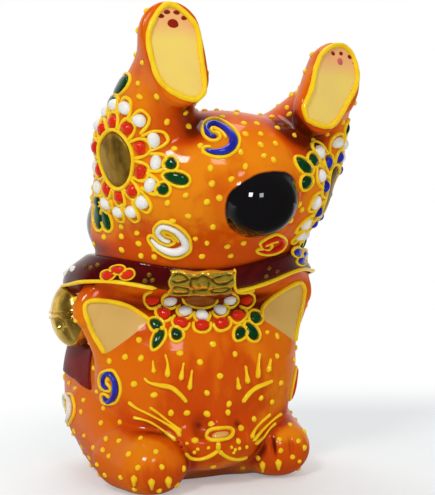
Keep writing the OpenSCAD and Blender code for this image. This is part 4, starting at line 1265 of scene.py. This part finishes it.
bell_points, bell_faces = skin_mesh(bell_form, *BELL_BOX, BELL_STEP, polish=1)
piece("bell_gilt", bell_points, bell_faces, MATERIALS["gold"], "gilding", ["bell"])
TAKEN.append(bell_points[::40])

# ------------------------------------------------------------------ garland over the brow
GARLAND_HEART = (203, 280)
GARLAND_WHITE = ((170, 301), (185, 311), (202, 315), (220, 310), (230, 300))
GARLAND_RED = ((152, 300), (164, 313), (181, 322), (202, 325), (222, 323), (238, 315), (246, 300))
GARLAND_LEAVES = ((155.8, 324.5, -35, 12, 9), (158, 339, 64, 20, 7.5), (176.3, 334, -65, 11, 9),
                  (239.7, 333.5, 60, 12, 8.5), (251, 331.5, -60, 18, 8.5), (255, 317.5, -50, 11, 9))
WHITE_BEAD, WHITE_CELL = (1.75, 1.5, 1.2), (8.0, 4, 7.4, 0.75)
RED_BEAD, RED_CELL = (1.85, 1.5, 1.2), (8.8, 4, 7.6, 0.8)
SEED_MIDDLE, SEED_HALF = (199.5, 301), (16, 5.6)
SEED_LINE = ((182, 298), (187, 304.5), (200, 308.5), (213, 305.5), (218, 299))
garland_white, garland_red, garland_green, garland_lines, garland_brown = (Enamel() for _ in range(5))
for pixel in GARLAND_WHITE:
    pixel_dome(garland_white, pixel, *WHITE_BEAD)
    pixel_cell(garland_lines, pixel, GARLAND_HEART, *WHITE_CELL)
for pixel in GARLAND_RED:
    pixel_dome(garland_red, pixel, *RED_BEAD)
    pixel_cell(garland_lines, pixel, GARLAND_HEART, *RED_CELL)
for x, y, turn, length, width in GARLAND_LEAVES:
    pixel_leaf(garland_green, garland_lines, (x, y), turn, length, width)
seed = [(SEED_MIDDLE[0] + SEED_HALF[0] * math.cos(a), SEED_MIDDLE[1] + SEED_HALF[1] * math.sin(a))
        for a in np.linspace(0, 2 * math.pi, 12, endpoint=False)]
filled_shape(garland_brown, seed, 0.5)
pixel_line(garland_lines, SEED_LINE, 0.75, 0.55)
garland_white.cover("garland_white_beads", "white")
garland_red.cover("garland_red_beads", "red")
garland_green.cover("garland_leaves", "green")
garland_lines.cover("garland_line", "yellow")
garland_brown.finish("garland_seed_enamel", "brown", "orange_glaze")

# ------------------------------------------------------------------ curled commas
# each is a hooked band: its middle line from the thin tail to the curled end, in places of the picture
RUMP_CURL = (
    (205.5, 150), (213, 152), (223, 151.5), (231, 147), (233.5, 140), (229.5, 133), (222.5, 127),
    (214, 123.6), (207.5, 126), (206.5, 131), (210.5, 136), (216.5, 137),
)
HAUNCH_CURL = (
    (151, 238), (160, 247), (174, 252), (185, 247), (183, 238), (175, 230), (163, 226), (158, 232),
    (164, 239), (171, 241),
)
NECK_CURL = (
    (258.5, 249.5), (266, 250.3), (274, 248.6), (280.5, 244.5), (282.5, 239.5), (279, 236.6),
    (273, 237.6), (266.5, 240.4), (262.5, 243.4), (264.5, 246), (269.5, 245),
)
CHEEK_CURL = (
    (104, 396), (109, 402), (115, 394), (115, 382), (109, 373), (104, 377), (104, 385), (108, 389),
)
LEG_CURL = ((66, 424), (70, 414), (70, 402), (66, 394), (64, 402), (66, 410))
HOOK_OPEN = 0.46  # share of a curl, from its thin tail, where the inner fence runs
CURL_WIDTHS = np.array((2.5, 6, 8.2, 8.6, 7.2, 6, 5.6, 5, 4))


def fence_path(path, w, gap, every):
    """The line drawn round a hooked band, open on the inside of its hook."""
    tangent = unit(np.gradient(path, axis=0))
    side = np.stack([-tangent[:, 1], tangent[:, 0]], -1)
    swing = np.sign(np.sum(side * (path - path.mean(0)))) or 1.0
    outer = path + side * swing * (w / 2 + gap)[:, None]
    inner = path - side * swing * (w / 2 + gap)[:, None]
    cut = int(len(path) * HOOK_OPEN)
    tip = (path[-1] + tangent[-1] * (w[-1] / 2 + gap))[None]
    tail = (path[0] - tangent[0] * (w[0] / 2 + gap))[None]
    start = np.vstack([inner[:cut:every][::-1], tail])
    return np.vstack([start[-3:], outer[::every], tip, inner[::-1][: len(path) - cut: every]])


BALL_CLEARANCE = 0.9  # mm


def below_ball(path):
    """How far a path in the picture has to come down until all of it clears the ball of the tail."""
    path = np.array(path, float)
    for drop in np.arange(0, 12, 0.5):
        if not (tail_form(seen_on(skin, *(path + (0, drop)))[0]) < BALL_CLEARANCE).any():
            return drop
    return 0.0


def curl(fill, edge, pixels, widths, field=skin, gap=1.9):
    """A comma of enamel whose width swells and thins, drawn round with yellow."""
    path = smooth_path(pixels, spacing=1.4)
    w = widths_along(path, widths)
    path = path + (0, below_ball(fence_path(path, w, gap, 4)))
    place, n = seen_on(field, *path)
    fill.line(place, n, w / PX, 0.95, wobble=0.03)
    pixel_line(edge, fence_path(path, w, gap, 4), 0.85, 0.6, field=field)


def plate_curl(fill, edge, plate, corners, widths, gap=0.5):
    """The same comma on a side that the picture doesn't show: corners in mm, widths in picture units."""
    path = smooth_path(corners, spacing=0.36)
    w = widths_along(path, widths) / PX
    fill.line(*plate.lay(path), w, 0.95, wobble=0.03)
    edge.line(*plate.lay(smooth_path(fence_path(path, w, gap, 4))), 0.85, 0.6)


curl_white, curl_blue, curl_red, curl_lines = (Enamel() for _ in range(4))
curl(curl_blue, curl_lines, RUMP_CURL, CURL_WIDTHS)
curl(curl_white, curl_lines, HAUNCH_CURL, CURL_WIDTHS)
curl(curl_red, curl_lines, NECK_CURL, CURL_WIDTHS * 0.6, gap=1.3)
curl(curl_blue, curl_lines, CHEEK_CURL, CURL_WIDTHS * 0.75)
curl(curl_white, curl_lines, LEG_CURL, CURL_WIDTHS * 0.6)
FAR_CHEEK = Plate((24.6, -17.6, 23.2), (0.85, -0.45, -0.1))
HALF_TURN = (108, 385)
mirrored = [((HALF_TURN[0] - x) / PX, (HALF_TURN[1] - y) / PX) for x, y in CHEEK_CURL]
plate_curl(curl_red, curl_lines, FAR_CHEEK, mirrored, CURL_WIDTHS * 0.75)
curl_white.cover("spirals_white", "white")
curl_blue.cover("spirals_blue", "blue")
curl_red.cover("spirals_red", "red")
curl_lines.finish("spiral_outlines_enamel", "yellow", "yellow_enamel")

# ------------------------------------------------------------------ flowers and dots on the collar
FLOWER_RED = ((108.6, 275, -165, 12.5, 7.2), (118, 269.8, 0, 13.5, 6.4), (127.4, 274.4, 20, 12.5, 7))
BLUE_SHARE = 0.8  # of its fence that a blue petal fills
FLOWER_BLUE = ((297, 252, 120, 9, 8), (301, 260, 250, 9, 8), (305, 254, 20, 8, 7))
COLLAR_DOTS = (
    (145, 280.6), (149.4, 275), (152.4, 280), (85.4, 266.5), (91, 268), (98, 265), (269, 268), (277, 271),
    (266, 276),
)
flower_red, flower_blue, flower_lines, collar_dots = (Enamel() for _ in range(4))
for x, y, turn, length, width in FLOWER_RED:
    pixel_leaf(flower_red, flower_lines, (x, y), turn, length, width, over_collar, edge_width=0.5, gap=1.4)
for x, y, turn, length, width in FLOWER_BLUE:
    length, width = length * BLUE_SHARE, width * BLUE_SHARE
    pixel_leaf(flower_blue, flower_lines, (x, y), turn, length, width, over_collar, edge_width=0.6, gap=1.6)
for pixel in COLLAR_DOTS:
    pixel_dome(collar_dots, pixel, 0.62, 0.62, 0.55, field=over_collar)
flower_red.cover("collar_flower_red", "red")
flower_blue.cover("collar_flower_blue", "blue")
flower_lines.finish("collar_flower_lines_enamel", "yellow", "yellow_enamel")
collar_dots.finish("collar_dots_gilt", "matt_gold", "gilding")
COLLAR_PEARLS = ((73, 269), (66, 273))
pearls = Enamel()
for pixel in COLLAR_PEARLS:
    pixel_dome(pearls, pixel, 0.95, 0.9, 0.7, field=over_collar)
pearls.finish("collar_pearls_enamel", "white", "white_enamel")

# ------------------------------------------------------------------ toe pads painted on the soles
TOE_PADS = (
    (161, 16, 0.72, 0.5), (167, 12, 0.75, 0.5), (176.5, 12.5, 0.75, 0.5), (184, 18, 0.72, 0.5),
    (173, 23.5, 1.35, 0.95), (333, 53.5, 0.65, 0.5), (341, 53.5, 0.65, 0.5), (349.5, 57, 0.7, 0.5),
    (354.5, 63, 0.72, 0.55),
)
PINK_PAD = (340, 61.5)
pads, pink = Enamel(), Enamel()
for x, y, ru, rv in TOE_PADS:
    pixel_dome(pads, (x, y), ru, rv, 0.16, sides=16, rows=3)
pixel_dome(pink, PINK_PAD, 0.95, 0.85, 0.16, sides=16, rows=3)
pads.finish("toe_pads_paint", "sepia", "red_enamel")
pink.finish("pink_pad_paint", "pink", "red_enamel")

# ------------------------------------------------------------------ drops on the toes, dots over the glaze
DROP_STROKE, DROP_TAPER = ((-0.6, -4), (0, 0), (0, 4), (0.4, 7.5)), (1.0, 1.2, 0.6, 0.5)
TOE_DROPS = ((134.4, 479), (151.6, 482.5), (168.2, 480.5), (262.8, 465), (278.4, 463))
drops = Enamel()
for x, y in TOE_DROPS:
    stroke = [(x + across, y + down) for across, down in DROP_STROKE]
    pixel_line(drops, stroke, 1.5, 0.85, taper=DROP_TAPER)
drops.cover("toe_drops", "yellow")

DOT_SPACING, DOT_R, DOT_GAP = 4.6, 0.7, 2.3
CANDIDATES = 30000
CLEAR_OF = {"cream": 1.9, "black": 1.6, "floor": 1.6, "collar_low": 1.6, "collar_high": 1.3, "hem": 1.4}
DOWNWARD, CREASED = -0.86, 0.75  # glaze that faces the floor or lies in a cleft takes no dot
FACE_DOTS = (
    (207, 414), (211, 424), (187, 413), (171, 413), (228, 412.5), (229, 404), (241, 428), (254, 419),
    (207, 393), (154, 395), (134, 384), (141, 358), (125, 357), (139, 340), (200, 362), (220, 376),
    (213, 344), (235, 354), (195, 440.3), (238.4, 441.2), (261, 398), (272, 402), (277, 336), (277, 356),
    (281, 383), (180, 353), (183.7, 468.7), (213, 466.5), (242.5, 468),
)
PAW_DOTS = (
    (137.8, 467.6), (162, 467), (120.7, 477.4), (105, 475), (128.5, 454), (118.9, 440.7), (105.9, 438.7),
    (140.6, 438), (119.8, 422), (101, 422.8), (103.5, 408), (81, 411.7), (84.3, 435.7), (93.3, 447.8),
    (102.8, 450), (108.7, 456), (97.2, 464.4), (89.3, 458.3), (74.4, 431), (155.9, 451.5), (279.3, 439.4),
    (280.7, 450.6), (290, 424.6), (298.3, 441), (292.4, 457), (258, 458), (299.3, 461.3),
)
RUMP_DOTS = (
    (139.6, 96.7), (156.7, 96.7), (204.3, 105), (185.4, 113), (167, 122), (188.6, 126.4), (174.3, 148.6),
    (200.4, 145.7), (222, 117), (236.4, 114.5), (244, 123.3), (257, 123.6), (272, 116.7), (245.4, 134),
    (260.7, 134), (277.4, 128), (260.7, 144.7), (275.4, 143.6), (294.3, 135.3), (313, 140), (240.7, 152),
    (264, 155.7), (273.6, 160), (287, 107.6), (289.3, 114.3), (291.4, 95.7), (210.4, 168), (245.4, 166.4),
    (212, 183.6), (231.4, 179), (185.7, 195.3), (207, 202), (219.5, 198), (167.4, 203), (188.3, 216),
    (172.6, 221), (213, 227), (195.4, 238.6), (207, 243), (227.4, 246.4), (243.6, 243), (230.7, 255.7),
    (202, 256.4), (138.6, 243.6), (121.7, 250), (141, 256), (154.3, 249.3), (154.3, 257), (137, 233),
    (121.4, 236.4), (121.4, 226.4), (104, 237), (94.5, 244), (291, 220.7), (299.7, 204.3),
)
DOTTED_BY_PLACE = (  # areas of the picture where every dot has its own place
    ((120, 333), (290, 333), (303, 440), (303, 478), (60, 490), (60, 405), (105, 400)),
    ((92, 228), (150, 215), (158, 122), (132, 92), (205, 92), (214, 108), (262, 110), (300, 88),
     (312, 128), (330, 150), (300, 212), (292, 252), (240, 264), (92, 264)),
)
MUZZLE_DOTS = (
    (186.9, 443.5), (197.7, 449.3), (194.4, 452.4), (208.5, 447.9), (231.5, 447.2), (235.1, 449.7),
    (239.3, 448.4), (233.7, 452.4), (246.5, 447),
)

# with half the size of each group's dots, in mm
DOTS_BY_PLACE = ((FACE_DOTS, 0.78), (MUZZLE_DOTS, 0.46), (PAW_DOTS, 0.66), (RUMP_DOTS, 0.72))


def bare_glaze():
    """Which points of the body may take a strewn dot."""
    b = bearing(points)
    low, high = edge_height(COLLAR_LOW, b), edge_height(COLLAR_HIGH, b)
    front = ("head", "ear_left", "ear_right", "foreleg_left", "foreleg_right")
    head = melted(*[FORMS[name](points) for name in front])
    z = points[:, 2]
    under_bib = (head > 0.2) & (z > hem_height(points) - CLEAR_OF["hem"]) & (z < low)
    under_collar = (z > low - CLEAR_OF["collar_low"]) & (z < high + CLEAR_OF["collar_high"])
    bare = (paint["cream"] > CLEAR_OF["cream"]) & (paint["black"] > CLEAR_OF["black"])
    bare &= (z > CLEAR_OF["floor"]) & (normal[:, 2] > DOWNWARD) & (paint["pool_and_shade"] < CREASED)
    bare &= ~under_collar & ~under_bib
    across, down = in_picture(points)
    placed = np.min([polygon_distance(across, down, area) for area in DOTTED_BY_PLACE], axis=0) < 0
    return bare & ~(placed & (((CAM_AT - points) * normal).sum(1) > 0))


def spread_out(order, bare, taken):
    """Takes points in this order, each clear of those before it and of the other enamel."""
    chosen = []
    cells = {}
    steps = [(i, j, k) for i in (-1, 0, 1) for j in (-1, 0, 1) for k in (-1, 0, 1)]
    for index in order:
        if not bare[index]:
            continue
        p = points[index]
        cell = tuple((p // DOT_SPACING).astype(int))
        around_it = [tuple(np.add(cell, step)) for step in steps]
        close = [q for at in around_it for q in cells.get(at, ())]
        if close and np.min(np.linalg.norm(np.array(close) - p, axis=1)) < DOT_SPACING:
            continue
        if np.min(((taken - p) ** 2).sum(1)) < DOT_GAP ** 2:
            continue
        cells.setdefault(cell, []).append(p)
        chosen.append(index)
    return chosen


def lay_dots():
    """Dots of yellow enamel: by place where the picture shows them, elsewhere strewn over bare glaze."""
    dots = Enamel()
    for pixels, r in DOTS_BY_PLACE:
        for pixel in pixels:
            ru, rv = r * rng.uniform(0.85, 1.1), r * rng.uniform(1.0, 1.2)
            pixel_dome(dots, pixel, ru, rv, 0.5, rng.uniform(0, 3), sides=10, rows=3)
    taken = np.vstack(TAKEN)
    order = rng.permutation(len(points))[:CANDIDATES]
    for index in spread_out(order, bare_glaze(), taken):
        ru = DOT_R * rng.uniform(0.8, 1.15)
        rv = ru * rng.uniform(1.0, 1.2)
        dots.dome(points[index], normal[index], ru, rv, 0.55, rng.uniform(0, 3), sides=9, rows=3)
    dots.finish("glaze_dots_enamel", "yellow", "yellow_enamel")


lay_dots()

# ------------------------------------------------------------------ floor, light and finish
WORLD_LEVEL, ROOM_LEVEL = 0.38, 0.07
WHITE, PAPER_DARK, PAPER_PALE = (1, 1, 1, 1), (0.9, 0.945, 0.96, 1), (0.92, 0.965, 0.98, 1)
FLOOR_HALF = 3.0
PAPER_NEAR, PAPER_FAR, PAPER_LIFT = 0.06, 0.17, 0.3
PAPER_MIDDLE = (0.06, 0.0, 0.0)  # the middle of the shaded paper, on the side away from the window
PAPER_FRONT, PAPER_BACK = 0.07, 0.9  # how bright gloss sees the paper before and behind the figurine


def make_floor():
    """White paper: it takes the shadow near the figurine and runs out into the white background; its glow for
    the camera is least round the shaded middle, so the paper on the window side is painted lighter than its
    shading.
    """
    mesh = bpy.data.meshes.new("floor")
    corners = [(x * FLOOR_HALF, y * FLOOR_HALF, 0) for x, y in ((-1, -1), (1, -1), (1, 1), (-1, 1))]
    mesh.from_pydata(corners, [], [(0, 1, 2, 3)])
    floor = bpy.data.objects.new("floor", mesh)
    bpy.context.scene.collection.objects.link(floor)
    n = Nodes("floor_paper")
    grain = n.noise(30.0, 4.0)
    n.bump(grain, 0.05, 0.0005)
    n.set(Base_Color=n.mix(grain, PAPER_DARK, PAPER_PALE), Roughness=0.7)
    beside = n.add("ShaderNodeVectorMath", operation="SUBTRACT")
    n.put(beside.inputs[0], n.place)
    beside.inputs[1].default_value = PAPER_MIDDLE
    away = n.add("ShaderNodeVectorMath", operation="LENGTH")
    n.put(away.inputs[0], beside.outputs[0])
    blend = n.add("ShaderNodeMixShader")
    ray = n.add("ShaderNodeLightPath")
    split = n.add("ShaderNodeSeparateXYZ")
    n.put(split.inputs[0], n.place)
    in_gloss = n.ramp(split.outputs["Y"], -0.05, 0.14, PAPER_FRONT - 1, PAPER_BACK - 1)
    level = n.math("ADD", 1.0, n.math("MULTIPLY", ray.outputs["Is Glossy Ray"], in_gloss))
    glow = n.add("ShaderNodeEmission", Color=WHITE, Strength=level)
    seen_by = n.math("MAXIMUM", ray.outputs["Is Camera Ray"], ray.outputs["Is Transmission Ray"])
    # the glow rises away from the shaded middle: painted light on the paper towards the window
    seen_by = n.math("MULTIPLY", seen_by, n.ramp(away.outputs["Value"], PAPER_NEAR, PAPER_FAR, PAPER_LIFT))
    n.put(blend.inputs[0], n.math("MAXIMUM", seen_by, ray.outputs["Is Glossy Ray"]))
    n.put(blend.inputs[1], n.shader.outputs[0])
    n.put(blend.inputs[2], glow.outputs[0])
    n.put(n.tree.nodes["Material Output"].inputs["Surface"], blend.outputs[0])
    mesh.materials.append(n.mat)


def make_world():
    """A white backdrop behind the figurine; gloss sees it there, and a dim room in front."""
    scene = bpy.context.scene
    world = bpy.data.worlds.new("studio")
    world.use_nodes = True
    scene.world = world
    tree = world.node_tree
    back = tree.nodes["Background"]
    path = tree.nodes.new("ShaderNodeLightPath")
    way = tree.nodes.new("ShaderNodeSeparateXYZ")
    tree.links.new(tree.nodes.new("ShaderNodeTexCoord").outputs["Generated"], way.inputs[0])
    gloss = tree.nodes.new("ShaderNodeMapRange")
    tree.links.new(way.outputs["Y"], gloss.inputs["Value"])
    for key, value in (("From Min", 0.1), ("From Max", 0.8), ("To Min", ROOM_LEVEL), ("To Max", 1.0)):
        gloss.inputs[key].default_value = value
    level = WORLD_LEVEL
    strengths = {"Is Glossy Ray": gloss.outputs["Result"], "Is Camera Ray": 1.0, "Is Transmission Ray": 1.0}
    for ray, strength in strengths.items():
        pick = tree.nodes.new("ShaderNodeMix")
        tree.links.new(path.outputs[ray], pick.inputs["Factor"])
        for key, value in (("A", level), ("B", strength)):
            if isinstance(value, float):
                pick.inputs[key].default_value = value
            else:
                tree.links.new(value, pick.inputs[key])
        level = pick.outputs["Result"]
    tree.links.new(level, back.inputs["Strength"])
    back.inputs["Color"].default_value = WHITE
    scene.view_settings.view_transform = "Standard"


MIDDLE = (0, -0.01, 0.055)
LAMPS = (  # place and size in metres, power, and whether gloss shows it
    ("key_window", (-0.44, -0.42, 0.47), (0.12, 0.15), 1.9, True),
    ("second_window", (-0.16, -0.62, 0.42), (0.12, 0.16), 0.62, True),
    ("fill_window", (0.5, -0.35, 0.35), (0.3, 0.3), 0.4, False),
    ("top_box", (0.05, 0.1, 0.7), (0.4, 0.3), 1.5, True),
)


def lamp(name, at, size, power, in_gloss):
    data = bpy.data.lights.new(name, "AREA")
    data.shape = "RECTANGLE"
    data.size, data.size_y = size
    data.energy = power
    obj = bpy.data.objects.new(name, data)
    obj.visible_glossy = in_gloss
    bpy.context.scene.collection.objects.link(obj)
    at = np.array(at, float)
    z = unit(at - np.array(MIDDLE, float))
    x = unit(np.cross((0, 0, 1.0), z))
    y = np.cross(z, x)
    obj.matrix_world = axes_at(x, y, z, at)


make_floor()
make_world()
for settings in LAMPS:
    lamp(*settings)
